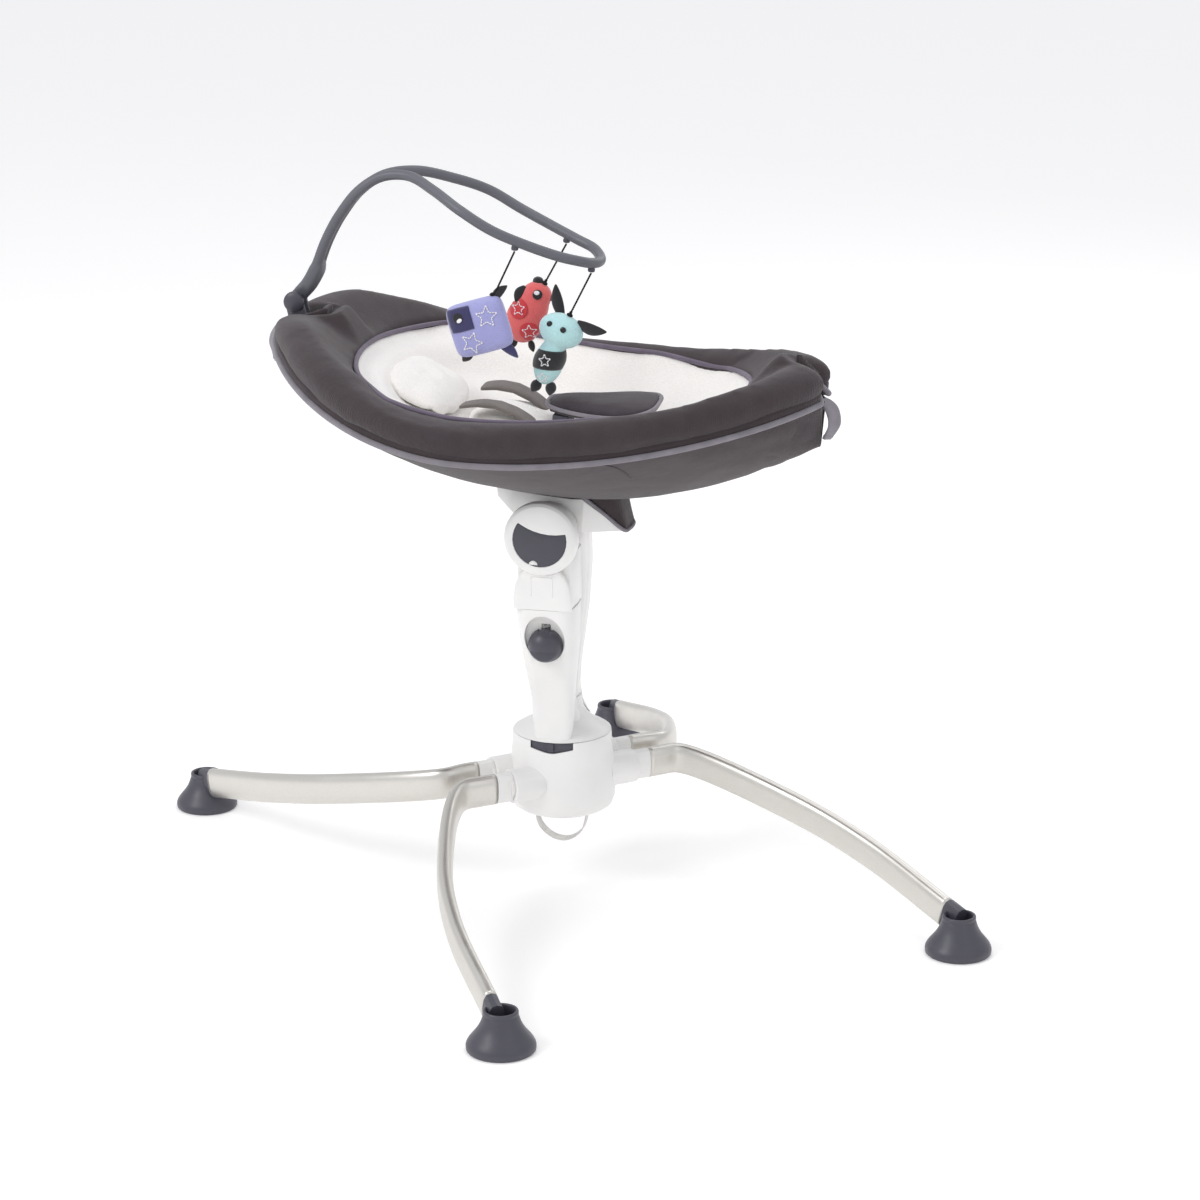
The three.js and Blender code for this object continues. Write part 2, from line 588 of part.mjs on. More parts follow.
function hullHeight(x, y) {
  const halfWidth = rimHalfWidth(x);
  const share = halfWidth > 1 ? Math.min(1, Math.abs(y) / halfWidth) : 1;
  return keelHeight(x) + (rimHeight(x) - keelHeight(x)) * share ** 1.7;
}

function seatHull() {
  const level = (thickness) => (x, y, reach) => (reach < 1 ? hullHeight(x, y) + thickness : rimHeight(x));
  const outer = [(turn) => rimInset(turn, 0), level(0)];
  const inner = [(turn) => rimInset(turn, 4.5), level(4)];
  return layer(outer, inner, [RIM.centre, 0], 32, 6);
}

const ellipse = (centre, halfLength, halfWidth) => (turn) => [
  centre - halfLength * Math.cos(2 * Math.PI * turn),
  -halfWidth * Math.sin(2 * Math.PI * turn),
];

// The liner's lip follows the rim: halfway up the border at the sides, well inside it at the ends.
function linerShare(x) {
  return Math.min(1, Math.abs(x - RIM.centre) / (x < RIM.centre ? LINER.head : LINER.foot));
}

function linerHalfWidth(x) {
  const t = linerShare(x);
  const free = LINER.halfWidth * (x < RIM.centre ? (1 - t ** 2) ** 0.48 : (1 - t ** 2.2) ** 0.55);
  return Math.min(free, rimHalfWidth(x) - LINER.clearance);
}

function linerEdge(turn) {
  const angle = 2 * Math.PI * turn;
  const reach = Math.cos(angle);
  const x = RIM.centre - reach * (reach > 0 ? LINER.head : LINER.foot);
  return [x, -Math.sign(Math.sin(angle)) * linerHalfWidth(x)];
}

function linerLip(x) {
  const ease = (from, to) => THREE.MathUtils.smoothstep(x, from, to);
  return rimHeight(x) + LINER.lift - LINER.footDrop * ease(60, 175) - LINER.headDrop * (1 - ease(-268, -200));
}

function linerTop(x, y) {
  const across = Math.min(1, Math.abs(y) / Math.max(1, linerHalfWidth(x)));
  const rise = 1 - (1 - across ** 3) * (1 - linerShare(x) ** 6);
  const middle = LINER.bowl + 9e-4 * x ** 2;
  return middle + (linerLip(x) - middle) * rise;
}

function supportTray() {
  const outline = ellipse(-20, 150, 105);
  const sheet = (rise) => [outline, (x, y) => hullHeight(x, y) + rise];
  return layer(sheet(7), sheet(11), [-20, 0], 24, 4);
}

function liner() {
  const under = (x, y) => hullHeight(x, y) + 14;
  return layer([linerEdge, under], [linerEdge, linerTop], [RIM.centre, 0], 32, 6);
}

function alongRim(inset, rise, radius, steps, around) {
  return new ParametricGeometry((u, v, target) => {
    const turn = Math.round(v * steps) / steps;
    const angle = 2 * Math.PI * u;
    const [x, y] = rimInset(turn, inset + radius * Math.cos(angle));
    target.set(x, y, rimHeight(rimEdge(turn).x) + rise + radius * Math.sin(angle));
  }, around, steps);
}

// Half of the padded border, which fills the space between the rim and the liner's lip.
function borderRoll(from, to, steps = 24, around = 12) {
  const { lerp, clamp, smoothstep } = THREE.MathUtils;
  const rows = steps + 3;
  return new ParametricGeometry((u, v, target) => {
    const row = Math.round(v * (rows - 1));
    const turn = lerp(from, to, clamp((row - 1) / steps, 0, 1));
    const size = row === 0 || row === rows - 1 ? 0 : 1;
    const outer = rimInset(turn, -BORDER.overhang);
    const lip = linerEdge(turn);
    const away = Math.hypot(lip[0] - RIM.centre, lip[1]);
    const grow = 1 + BORDER.linerGap / away;
    const inner = [RIM.centre + (lip[0] - RIM.centre) * grow, lip[1] * grow];
    const crest = Math.min(0.5, BORDER.crestAt / Math.hypot(outer[0] - inner[0], outer[1] - inner[1]));
    const angle = 2 * Math.PI * u;
    const share = 0.5 - 0.5 * Math.cos(angle) * size;
    const fall = smoothstep(share, crest, 1);
    const level = lerp(rimHeight(rimEdge(turn).x) + BORDER.outerLevel, linerLip(lip[0]) - BORDER.innerHalf, fall);
    const half = lerp(BORDER.outerHalf, BORDER.innerHalf, fall) * rounded(Math.sin(angle), 0.8) * size;
    const side = half < 0 ? BORDER.under : 1;
    target.set(lerp(outer[0], inner[0], share), lerp(outer[1], inner[1], share), level + half * side);
  }, around, rows - 1);
}

const seatRing = () => alongRim(21, 1.2, 5.5, 40, 7);
// A pad that lies on a height field: flat below, crowned on top.
function pad(centre, halfLength, halfWidth, floor, thickness, around = 20) {
  const outline = (turn) => {
    const angle = 2 * Math.PI * turn;
    const x = centre[0] - halfLength * rounded(Math.cos(angle), 0.7);
    return [x, centre[1] - halfWidth * rounded(Math.sin(angle), 0.7)];
  };
  const top = (x, y, reach) => floor(x, y) + thickness * (0.25 + 0.75 * Math.sqrt(1 - reach ** 3));
  return layer([outline, floor], [outline, top], centre, around, 4);
}

const TAB_PATHS = {
  head: [[-378.5, 0, 190], [-384, 0, 184], [-386, 0, 170], [-381, 0, 152]],
  foot: [[323, 0, 192], [331, 0, 184], [334, 0, 168], [327, 0, 148]],
};
const INSERT = { centre: [-15, 0], halfLength: 117, halfWidth: 88, thickness: 18 };
// The crotch pad's rise clears the buckle under it.
const CROTCH_PAD = { centre: [42, 0], halfLength: 74, halfWidth: 46, thickness: 27, rise: 14.5 };
const STRAP_PAD = { centre: -82, aside: 46, halfLength: 46, halfWidth: 14, thickness: 3, arch: 9 };
const onLiner = (x, y) => linerTop(x, y) + 3;
const onInsert = (x, y) => onLiner(x, y) + INSERT.thickness + 2;

function makePads() {
  const { centre, halfLength, halfWidth, thickness } = INSERT;
  piece(seat, 'newborn_insert', pad(centre, halfLength, halfWidth, onLiner, thickness, 24), WHITE_FABRIC);
  piece(seat, 'head_pillow', pad([-184, 0], 48, 80, onLiner, 30), WHITE_FABRIC);
  const strap = STRAP_PAD;
  const bow = (x) => strap.arch * Math.cos(((x - strap.centre) / strap.halfLength) * Math.PI / 2);
  const arched = (x, y) => onInsert(x, y) + bow(x);
  for (const [side, hand] of [['near', -1], ['far', 1]]) {
    const place = [strap.centre, hand * strap.aside];
    const shape = pad(place, strap.halfLength, strap.halfWidth, arched, strap.thickness, 12);
    piece(seat, `harness_strap_${side}`, shape, STRAP_FABRIC);
  }
  const crotch = CROTCH_PAD;
  const aboveBuckle = (x, y) => onInsert(x, y) + crotch.rise;
  const cover = pad(crotch.centre, crotch.halfLength, crotch.halfWidth, aboveBuckle, crotch.thickness, 20);
  piece(seat, 'crotch_pad', cover, CHARCOAL_FABRIC);
}

function makeBuckle() {
  const floor = onInsert(-18, 0) + 0.6;
  const body = cut(
    block([-18, -19, floor], [2, 19, floor + 11]),
    block([-12.4, -8.4, floor + 5], [-1.6, 8.4, floor + 12]),
  );
  piece(seat, 'harness_buckle', body, DARK_PLASTIC);
  piece(seat, 'buckle_button', block([-12, -8, floor + 8], [-2, 8, floor + 12]), GREY_PLASTIC);
}

function pullTab(points) {
  return ovalBar(smooth(points), 1, 11, 5, new THREE.Vector3(0, 1, 0), 8, 0.4);
}

function makeCradle() {
  piece(seat, 'seat_hull', seatHull(), CHARCOAL_FABRIC);
  piece(seat, 'support_tray', supportTray(), WHITE_PLASTIC);
  piece(seat, 'seat_ring', seatRing(), WHITE_PLASTIC);
  piece(seat, 'border_roll_near', borderRoll(0.016, 0.486), CHARCOAL_FABRIC);
  piece(seat, 'border_roll_far', borderRoll(0.514, 0.984), CHARCOAL_FABRIC);
  piece(seat, 'liner', liner(), WHITE_FABRIC);
  makePads();
  makeBuckle();
  piece(seat, 'pull_tab_head', pullTab(TAB_PATHS.head), GREY_FABRIC);
  piece(seat, 'pull_tab_foot', pullTab(TAB_PATHS.foot), GREY_FABRIC);
}

// ---------------------------------------------------------------- toy arch, in the seat's frame
function toybarClamp() {
  const [x, , z] = ARCH_PIVOT;
  const ringX = RIM.centre - RIM.head + 21;
  const ringZ = rimHeight(RIM.centre - RIM.head) + 1.2;
  const profile = [
    [ringX - 10, ringZ - 3], [ringX + 10, ringZ - 3], [ringX + 11, ringZ + 12], [x + 12, z - 4], [x + 8, z + 10],
    [x - 8, z + 10], [x - 12, z - 4],
  ];
  const ringCurve = smooth([0.97, 0.985, 1, 1.015, 1.03].map((turn) => [...rimInset(turn, 21), ringZ]));
  const grip = roundBar(ringCurve, 5.5 + 0.9, 8, 12);
  const fork = block([x - 14, -5.6, z - 16], [x + 30, 5.6, z + 20]);
  const pinHole = rod(4.4, [x, -20, z], [x, 20, z], 16);
  return cut(slab(profile, -10.5, 10.5), grip, fork, pinHole);
}

function toybarKnob() {
  const [x, , z] = ARCH_PIVOT;
  return fuse(
    latheY([[0, -19], [9, -18.4], [13, -16], [13.5, -11.5], [0, -11.5]], 24).translate(x, 0, z),
    rod(4, [x, -12, z], [x, 16, z], 16),
  );
}

const RAIL = [
  [-341, 7, 271], [-337, 7, 292], [-328, 7, 320], [-314, 7, 350], [-291, 7, 384], [-262, 9, 406], [-225, 19, 413.5],
  [-185, 45, 405], [-143, 71, 390], [-101, 74, 371], [-60, 66, 357], [-19, 53, 345], [3, 42, 340], [17, 22, 335],
];

function toybarArch() {
  const [x, , z] = ARCH_PIVOT;
  const nearSide = RAIL.map(([px, py, pz]) => [px, -py, pz]);
  const loop = smooth([...nearSide, [22, 0, 333.5], ...[...RAIL].reverse()]);
  const rails = roundBar(loop, ARCH_RADIUS, 44, 8);
  const yokeLine = smooth([[x + 4, 0, z + 8], [-350, 0, 256], [-340.5, 0, 277]]);
  const yoke = ovalBar(yokeLine, 9.5, 14, 4, new THREE.Vector3(0, 1, 0), 16, 0.6);
  const lug = rod(10, [x, -5.2, z], [x, 5.2, z], 20);
  const neck = slab([[x - 8, z + 1], [x + 8, z - 1], [x + 16, z + 20], [x + 2, z + 26]], -5.2, 5.2);
  const ears = block([x - 16, -16, z - 12], [x + 16, -5.2, z + 15]);
  const farEars = block([x - 16, 5.2, z - 12], [x + 16, 16, z + 15]);
  const pinHole = rod(4.4, [x, -20, z], [x, 20, z], 16);
  const eyes = TOYS.map(({ hanger: [hx, hy, hz] }) => rod(4.5, [hx, hy, hz], [hx, hy, hz + 12], 10, 3.6));
  return cut(fuse(rails, cut(yoke, ears, farEars), lug, neck, ...eyes), pinHole);
}

// ---------------------------------------------------------------- toys
const TOYS = [
  { name: 'square', hanger: [-71, -68, 349], body: [-108, -68, 248] },
  { name: 'dog', hanger: [-35, 58, 338.5], body: [-76, 58, 243] },
  { name: 'rabbit', hanger: [17, -22, 324], body: [-23, -22, 222] },
];

const ball = (centre, radii, turn = 0) => new THREE.SphereGeometry(1, 12, 8)
  .scale(...radii).rotateY(radians(turn)).translate(...centre);

function squareToy([x, y, z]) {
  const outline = [[-38, -30], [-34, -34], [34, -34], [38, -30], [38, 30], [34, 34], [-34, 34], [-38, 30]];
  return slab(outline, -13, 13).rotateY(radians(-16)).translate(x, y, z);
}

const dogToy = ([x, y, z]) => fuse(
  ball([x - 4, y, z - 8], [25, 17, 33], 10),
  ball([x + 6, y, z + 22], [23, 17, 20]),
);

const rabbitToy = ([x, y, z]) => fuse(
  ball([x - 4, y, z - 18], [20, 17, 32], 12),
  ball([x + 3, y, z + 18], [26, 19, 24]),
  ball([x + 2, y + 6, z + 50], [8, 4, 26], 8),
  ball([x + 40, y - 2, z + 26], [24, 4, 8], 8),
);

// How far up the cord, from the toy's middle to the hanger, the toy's own body reaches.
const CORD_START = { square: 0.38, dog: 0.46, rabbit: 0.47 };
const CORD_GAP = 1.6; // below its eyelet, so that the cord can swing

function makeToys() {
  const bodies = { square: squareToy, dog: dogToy, rabbit: rabbitToy };
  const looks = { square: LAVENDER_PLUSH, dog: CORAL_PLUSH, rabbit: AQUA_PLUSH };
  for (const { name, hanger, body } of TOYS) {
    const top = new THREE.Vector3(...hanger);
    const start = new THREE.Vector3(...body).lerp(top, CORD_START[name]);
    const cord = rod(1.2, start.toArray(), [hanger[0], hanger[1], hanger[2] - CORD_GAP], 8);
    piece(seat, `toy_cord_${name}`, cord, BLACK_CORD);
    piece(seat, `toy_${name}`, cut(bodies[name](body), rod(1.6, start.toArray(), hanger, 8)), looks[name]);
  }
}

function makeToyArch() {
  piece(seat, 'toybar_clamp', toybarClamp(), GREY_PLASTIC);
  piece(seat, 'toybar_knob', toybarKnob(), DARK_PLASTIC);
  piece(seat, 'toybar_arch', toybarArch(), GREY_PLASTIC);
  makeToys();
}

makeHub();
makeLegs();
makeTurret();
makeUpperMast();
makeReclineHinge();
makeCradle();
makeToyArch();

export default bouncer;
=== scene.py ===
"""The looks of a high, swivelling baby bouncer seat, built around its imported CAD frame."""

import math

import bmesh
import bpy
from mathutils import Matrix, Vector, noise
from mathutils.bvhtree import BVHTree


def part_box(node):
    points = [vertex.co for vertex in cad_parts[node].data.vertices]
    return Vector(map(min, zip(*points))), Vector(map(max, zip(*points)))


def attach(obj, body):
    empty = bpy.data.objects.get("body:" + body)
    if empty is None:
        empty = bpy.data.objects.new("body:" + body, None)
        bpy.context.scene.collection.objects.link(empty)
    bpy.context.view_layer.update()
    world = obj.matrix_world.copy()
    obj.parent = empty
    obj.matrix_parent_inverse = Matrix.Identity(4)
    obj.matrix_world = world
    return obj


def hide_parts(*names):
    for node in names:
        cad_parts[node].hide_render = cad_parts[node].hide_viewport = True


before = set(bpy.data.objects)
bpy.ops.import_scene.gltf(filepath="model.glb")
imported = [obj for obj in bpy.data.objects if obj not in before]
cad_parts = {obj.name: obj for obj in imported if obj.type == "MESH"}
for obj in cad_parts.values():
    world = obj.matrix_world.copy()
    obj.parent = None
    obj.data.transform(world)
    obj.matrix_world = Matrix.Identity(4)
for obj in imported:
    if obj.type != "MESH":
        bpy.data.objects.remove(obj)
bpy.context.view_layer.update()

# Driving dimensions of the CAD source, in millimetres. The seat's own frame has its origin on the
# recline axis and is tilted head end up; the base's own frame is turned about the swivel axis.
MM = 0.001
HINGE_HEIGHT = 488
SEAT_TILT = math.radians(4.8)
BASE_TURN = math.radians(40.6)
RIM = {"centre": -95, "head": 282, "foot": 416, "half_width": 262, "dip_height": 122, "dip_at": -80}
LINER = {"head": 173, "foot": 319, "half_width": 245, "clearance": 34, "bowl": 100, "lift": 50}
LINER_DROP = {"foot": 14, "head": 11}
BORDER = {"overhang": 10, "crest_at": 24, "outer_level": 30, "outer_half": 22, "inner_half": 14}
INSERT = {"centre": (-15, 0), "half_length": 117, "half_width": 88, "thickness": 18}
LEG_PATH = [
    (110.8, 27, 147), (130, 27, 147), (159, 28, 145), (249, 170, 107), (290, 286, 78), (315, 432, 42.5),
]
LEG_SECTION = {"half_width": 10, "half_height": 20}
LEGS = {"right": (-1, 0), "left": (-1, math.pi), "rear": (1, 0), "front": (1, math.pi)}
FOOT_AT = (315, 460)
FOOT_PROFILE = [
    (2, 0), (37, 0), (39.6, 0.5), (41, 2), (41.3, 4.5), (41.3, 7), (40.6, 9.6), (39, 12.6), (36.4, 16.2),
    (33, 20.3), (29.6, 24.6), (26.6, 29.2), (24.2, 34), (22.2, 39.4), (20.8, 44), (20.4, 44.6), (20.9, 45.4),
    (20.9, 48.2), (20.2, 49.6), (19, 50), (17.6, 49.6), (16.9, 48.4), (16.5, 44), (16.5, 30), (15.5, 27),
    (2, 26),
]
RAIL = [
    (-341, 7, 271), (-337, 7, 292), (-328, 7, 320), (-314, 7, 350), (-291, 7, 384), (-262, 9, 406),
    (-225, 19, 413.5), (-185, 45, 405), (-143, 71, 390), (-101, 74, 371), (-60, 66, 357),
    (-19, 53, 345), (3, 42, 340), (17, 22, 335),
]
ARCH_PIVOT = (-365, 0, 233)
ARCH_RADIUS = 6.5
EYELET_PROFILE = [(0.6, 0), (3.4, 0), (4.2, 0.6), (4.5, 1.6), (4.5, 4), (3.8, 5.2), (3.6, 9), (4.4, 12)]
TOYS = {
    "square": {"hanger": (-71, -68, 349), "body": (-108, -68, 248), "cord_start": 0.38},
    "dog": {"hanger": (-35, 58, 338.5), "body": (-76, 58, 243), "cord_start": 0.46},
    "rabbit": {"hanger": (17, -22, 324), "body": (-23, -22, 222), "cord_start": 0.47},
}
TOY_CORD_DIAMETER = 2.4
CORD_GAP = 1.6
CROTCH_PAD = {"centre": 42, "half_length": 73, "neck": 30, "half_width": 45, "crown": 11, "rise": 14.5}
STRAP_PAD = {"centre": -82, "aside": 46, "half_length": 46, "half_width": 18, "thickness": 5, "arch": 14}
HULL_THICKNESS = 4
DARTS = {"foot": (0.325, 0.352), "head": (0.10, 0.125)}  # turn at the rim and at the lower end
# The steps in the border's outer edge: depth, and how far aside their floor and sides reach.
NOTCH = {"head": (54, 20, 38), "foot": (40, 6, 26)}
BORDER_DROP = 16
PIPING = {"rim": 3.8, "liner": 3.2, "pad": 2.6, "skirt": 2.4}
PIPING_RISE = {"rim": 3.5, "notch": 38}
FLOOR_HALF = 12


def seat_point(x, y, z):
    """A point of the seat's frame, in millimetres, as a place in the row frame, in metres."""
    c, s = math.cos(SEAT_TILT), math.sin(SEAT_TILT)
    return Vector((x * c + z * s, y, HINGE_HEIGHT - x * s + z * c)) * MM


def base_point(along, across, z, turn=0.0):
    """The same for a point of the base's frame, for a leg group turned by turn."""
    c, s = math.cos(BASE_TURN + turn), math.sin(BASE_TURN + turn)
    return Vector((along * c - across * s, along * s + across * c, z)) * MM


def lerp(a, b, t):
    return a + (b - a) * t


def clamp(value, low=0.0, high=1.0):
    return max(low, min(high, value))


def full_turn(count):
    """count angles, evenly spaced round a circle."""
    return [2 * math.pi * k / count for k in range(count)]


def ease(value, low, high):
    t = clamp((value - low) / (high - low))
    return t * t * (3 - 2 * t)


def rounded(value, power):
    return math.copysign(abs(value) ** power, value) if abs(value) > 1e-9 else 0.0


# ---------------------------------------------------------------- the cradle's surfaces, in mm
def rim_half_width(x):
    if x < RIM["centre"]:
        return RIM["half_width"] * max(0, 1 - ((RIM["centre"] - x) / RIM["head"]) ** 2) ** 0.55
    return RIM["half_width"] * max(0, 1 - ((x - RIM["centre"]) / RIM["foot"]) ** 1.4) ** 0.6


def rim_height(x):
    return RIM["dip_height"] + (8.2e-4 if x < RIM["dip_at"] else 4.7e-4) * (x - RIM["dip_at"]) ** 2


def keel_height(x):
    return 34 + 0.001 * x * x


def rim_edge(turn):
    angle = 2 * math.pi * turn
    reach = math.cos(angle)
    x = RIM["centre"] - reach * (RIM["head"] if reach > 0 else RIM["foot"])
    return Vector((x, -math.copysign(1, math.sin(angle)) * rim_half_width(x)))


def drawn_in(edge, reach):
    """The place at reach, from 0 in the cradle's middle to 1 at the edge."""
    return RIM["centre"] + (edge.x - RIM["centre"]) * reach, edge.y * reach


def rim_inset(turn, inset):
    along = (rim_edge(turn + 0.004) - rim_edge(turn - 0.004)).normalized()
    edge = rim_edge(turn)
    return Vector((edge.x - along.y * inset, edge.y + along.x * inset))


def hull_height(x, y):
    across = min(1, abs(y) / max(1, rim_half_width(x)))
    return lerp(keel_height(x), rim_height(x), across ** 1.7)


def liner_share(x):
    return min(1, abs(x - RIM["centre"]) / (LINER["head"] if x < RIM["centre"] else LINER["foot"]))


def liner_half_width(x):
    t = liner_share(x)
    free = LINER["half_width"] * ((1 - t ** 2) ** 0.48 if x < RIM["centre"] else (1 - t ** 2.2) ** 0.55)
    return min(free, rim_half_width(x) - LINER["clearance"])


def liner_edge(turn):
    angle = 2 * math.pi * turn
    reach = math.cos(angle)
    x = RIM["centre"] - reach * (LINER["head"] if reach > 0 else LINER["foot"])
    return Vector((x, -math.copysign(1, math.sin(angle)) * liner_half_width(x)))


def liner_lip(x):
    drop = LINER_DROP["foot"] * ease(x, 60, 175) + LINER_DROP["head"] * (1 - ease(x, -268, -200))
    return rim_height(x) + LINER["lift"] - drop


def liner_top(x, y):
    across = min(1, abs(y) / max(1, liner_half_width(x)))
    rise = 1 - (1 - across ** 3) * (1 - liner_share(x) ** 6)
    return lerp(LINER["bowl"] + 9e-4 * x * x, liner_lip(x), rise)


def on_liner(x, y):
    return liner_top(x, y) + 3


def on_insert(x, y):
    return on_liner(x, y) + INSERT["thickness"] + 2


# ---------------------------------------------------------------- mesh tools
def add_object(name, bm):
    bmesh.ops.recalc_face_normals(bm, faces=bm.faces)
    mesh = bpy.data.meshes.new(name)
    bm.to_mesh(mesh)
    bm.free()
    obj = bpy.data.objects.new(name, mesh)
    bpy.context.scene.collection.objects.link(obj)
    mesh.polygons.foreach_set("use_smooth", [True] * len(mesh.polygons))
    return obj


def loft(name, rows, wrap=True, caps=True, closed=False):
    """A skin over rows of points. wrap closes each row, closed joins the last row to the first."""
    bm = bmesh.new()
    skin(bm, rows, wrap, caps, closed)
    return add_object(name, bm)


def skin(bm, rows, wrap=True, caps=True, closed=False):
    verts = [[bm.verts.new(p) for p in row] for row in rows]
    count = len(rows[0])
    pairs = list(zip(verts, verts[1:])) + ([(verts[-1], verts[0])] if closed else [])
    for low, high in pairs:
        for i in range(count if wrap else count - 1):
            j = (i + 1) % count
            bm.faces.new((low[i], low[j], high[j], high[i]))
    if caps and not closed:
        for row, points in ((verts[0], rows[0]), (verts[-1], rows[-1])):
            middle = bm.verts.new(sum(points, Vector((0, 0, 0))) / count)
            for i in range(count):
                bm.faces.new((row[i], row[(i + 1) % count], middle))


def smooth_path(points, count, closed=False):
    """count places, evenly spaced, on the centripetal Catmull-Rom curve through the points."""
    p = [Vector(q) for q in points]
    ends = (p[-1], p[0], p[1]) if closed else (2 * p[0] - p[1], 2 * p[-1] - p[-2])
    p = [ends[0], *p, *ends[1:]]
    fine = []
    for a, b, c, d in zip(p, p[1:], p[2:], p[3:]):
        ta, tb, tc, td = 0.0, *_knots(a, b, c, d)
        for step in range(24):
            t = lerp(tb, tc, step / 24)
            ab = a * ((tb - t) / (tb - ta)) + b * ((t - ta) / (tb - ta))
            bc = b * ((tc - t) / (tc - tb)) + c * ((t - tb) / (tc - tb))
            cd = c * ((td - t) / (td - tc)) + d * ((t - tc) / (td - tc))
            abc = ab * ((tc - t) / (tc - ta)) + bc * ((t - ta) / (tc - ta))
            bcd = bc * ((td - t) / (td - tb)) + cd * ((t - tb) / (td - tb))
            fine.append(abc * ((tc - t) / (tc - tb)) + bcd * ((t - tb) / (tc - tb)))
    fine.append(p[-2].copy())
    return spaced(fine, count, closed)


def _knots(a, b, c, d):
    total, found = 0.0, []
    for start, end in ((a, b), (b, c), (c, d)):
        total += max((end - start).length, 1e-9) ** 0.5
        found.append(total)
    return found


def spaced(fine, count, closed=False):
    """count places evenly spaced along a run of close points."""
    lengths = [0.0]
    for a, b in zip(fine, fine[1:]):
        lengths.append(lengths[-1] + (b - a).length)
    steps = count if closed else count - 1
    found, k = [], 0
    for i in range(count):
        target = lengths[-1] * i / steps
        while k < len(lengths) - 2 and lengths[k + 1] < target:
            k += 1
        span = max(lengths[k + 1] - lengths[k], 1e-12)
        found.append(fine[k].lerp(fine[k + 1], clamp((target - lengths[k]) / span)))
    return found


def frames_along(path, across=None, closed=False):
    """Along, side and rise directions at each point; across fixes the side, else it turns least."""
    found, side = [], None
    for i, point in enumerate(path):
        before = path[i - 1] if i or closed else point
        after = path[(i + 1) % len(path)] if i < len(path) - 1 or closed else point
        along = (after - before).normalized()
        guess = Vector(across) if across else side or along.orthogonal()
        side = (guess - along * guess.dot(along)).normalized()
        found.append((along, side, along.cross(side)))
    return found


def sweep_rows(path, section, around, across=None, closed=False):
    """Rows of a tube: section(share, angle) gives the (side, rise) offsets in metres."""
    rows = []
    for i, (point, (_, side, rise)) in enumerate(zip(path, frames_along(path, across, closed))):
        share = i / (len(path) - 1)
        row = []
        for angle in full_turn(around):
            s, r = section(share, angle)
            row.append(point + side * s + rise * r)
        rows.append(row)
    return rows


def round_section(radius):
    return lambda share, angle: (radius * math.cos(angle), radius * math.sin(angle))


def tube(name, path, radius, around=12, closed=False):
    return loft(name, sweep_rows(path, round_section(radius), around, closed=closed), closed=closed)


def lathe(name, profile, place, around=72):
    """A turned form: profile holds (radius, height) in mm, place maps (x, y, z) in mm to metres."""
    rows = []
    for radius, height in profile:
        rows.append([place(radius * math.cos(a), radius * math.sin(a), height) for a in full_turn(around)])
    return loft(name, rows)


def displace(obj, amount):
    """Moves each vertex along its normal by amount(place), in metres."""
    mesh = obj.data
    normals = [v.normal.copy() for v in mesh.vertices]
    for vertex, normal in zip(mesh.vertices, normals):
        vertex.co += normal * amount(vertex.co)
    mesh.update()


def apply_modifiers(obj):
    graph = bpy.context.evaluated_depsgraph_get()
    mesh = bpy.data.meshes.new_from_object(obj.evaluated_get(graph))
    obj.modifiers.clear()
    old, obj.data = obj.data, mesh
    bpy.data.meshes.remove(old)
    mesh.name = obj.name
    mesh.polygons.foreach_set("use_smooth", [True] * len(mesh.polygons))


def remesh(obj, voxel):
    modifier = obj.modifiers.new("remesh", "REMESH")
    modifier.mode = "VOXEL"
    modifier.voxel_size = voxel
    apply_modifiers(obj)


def subdivide(obj, levels=1):
    modifier = obj.modifiers.new("subdivision", "SUBSURF")
    modifier.levels = levels
    modifier.render_levels = levels
    apply_modifiers(obj)


def relax(obj, factor=0.5, times=4):
    modifier = obj.modifiers.new("relax", "SMOOTH")
    modifier.factor = factor
    modifier.iterations = times
    apply_modifiers(obj)


def inflate(obj, voxel=0.005, cap=0.008, pressure=4.0, frames=20):
    """Fills a closed form with air as cloth, each point moving no further than cap."""
    remesh(obj, voxel)
    rest = [v.co.copy() for v in obj.data.vertices]
    cloth = obj.modifiers.new("cloth", "CLOTH")
    cloth.settings.use_pressure = True
    cloth.settings.uniform_pressure_force = pressure
    cloth.settings.effector_weights.gravity = 0
    cloth.point_cache.frame_start = 1
    cloth.point_cache.frame_end = frames
    scene = bpy.context.scene
    for step in range(1, frames + 1):
        scene.frame_set(step)
    swollen = obj.evaluated_get(bpy.context.evaluated_depsgraph_get())
    places = [v.co.copy() for v in swollen.data.vertices]
    obj.modifiers.clear()
    scene.frame_set(1)
    for vertex, start, place in zip(obj.data.vertices, rest, places):
        move = place - start
        if move.length > cap:
            move *= cap / move.length
        vertex.co = start + move
    relax(obj, 0.5, 3)
    subdivide(obj)


# ---------------------------------------------------------------- materials
def colour(hexa, factor=1.0):
    parts = [int(hexa[i:i + 2], 16) / 255 for i in (0, 2, 4)]
    linear = [p / 12.92 if p <= 0.04045 else ((p + 0.055) / 1.055) ** 2.4 for p in parts]
    return (*(min(1, p * factor) for p in linear), 1)


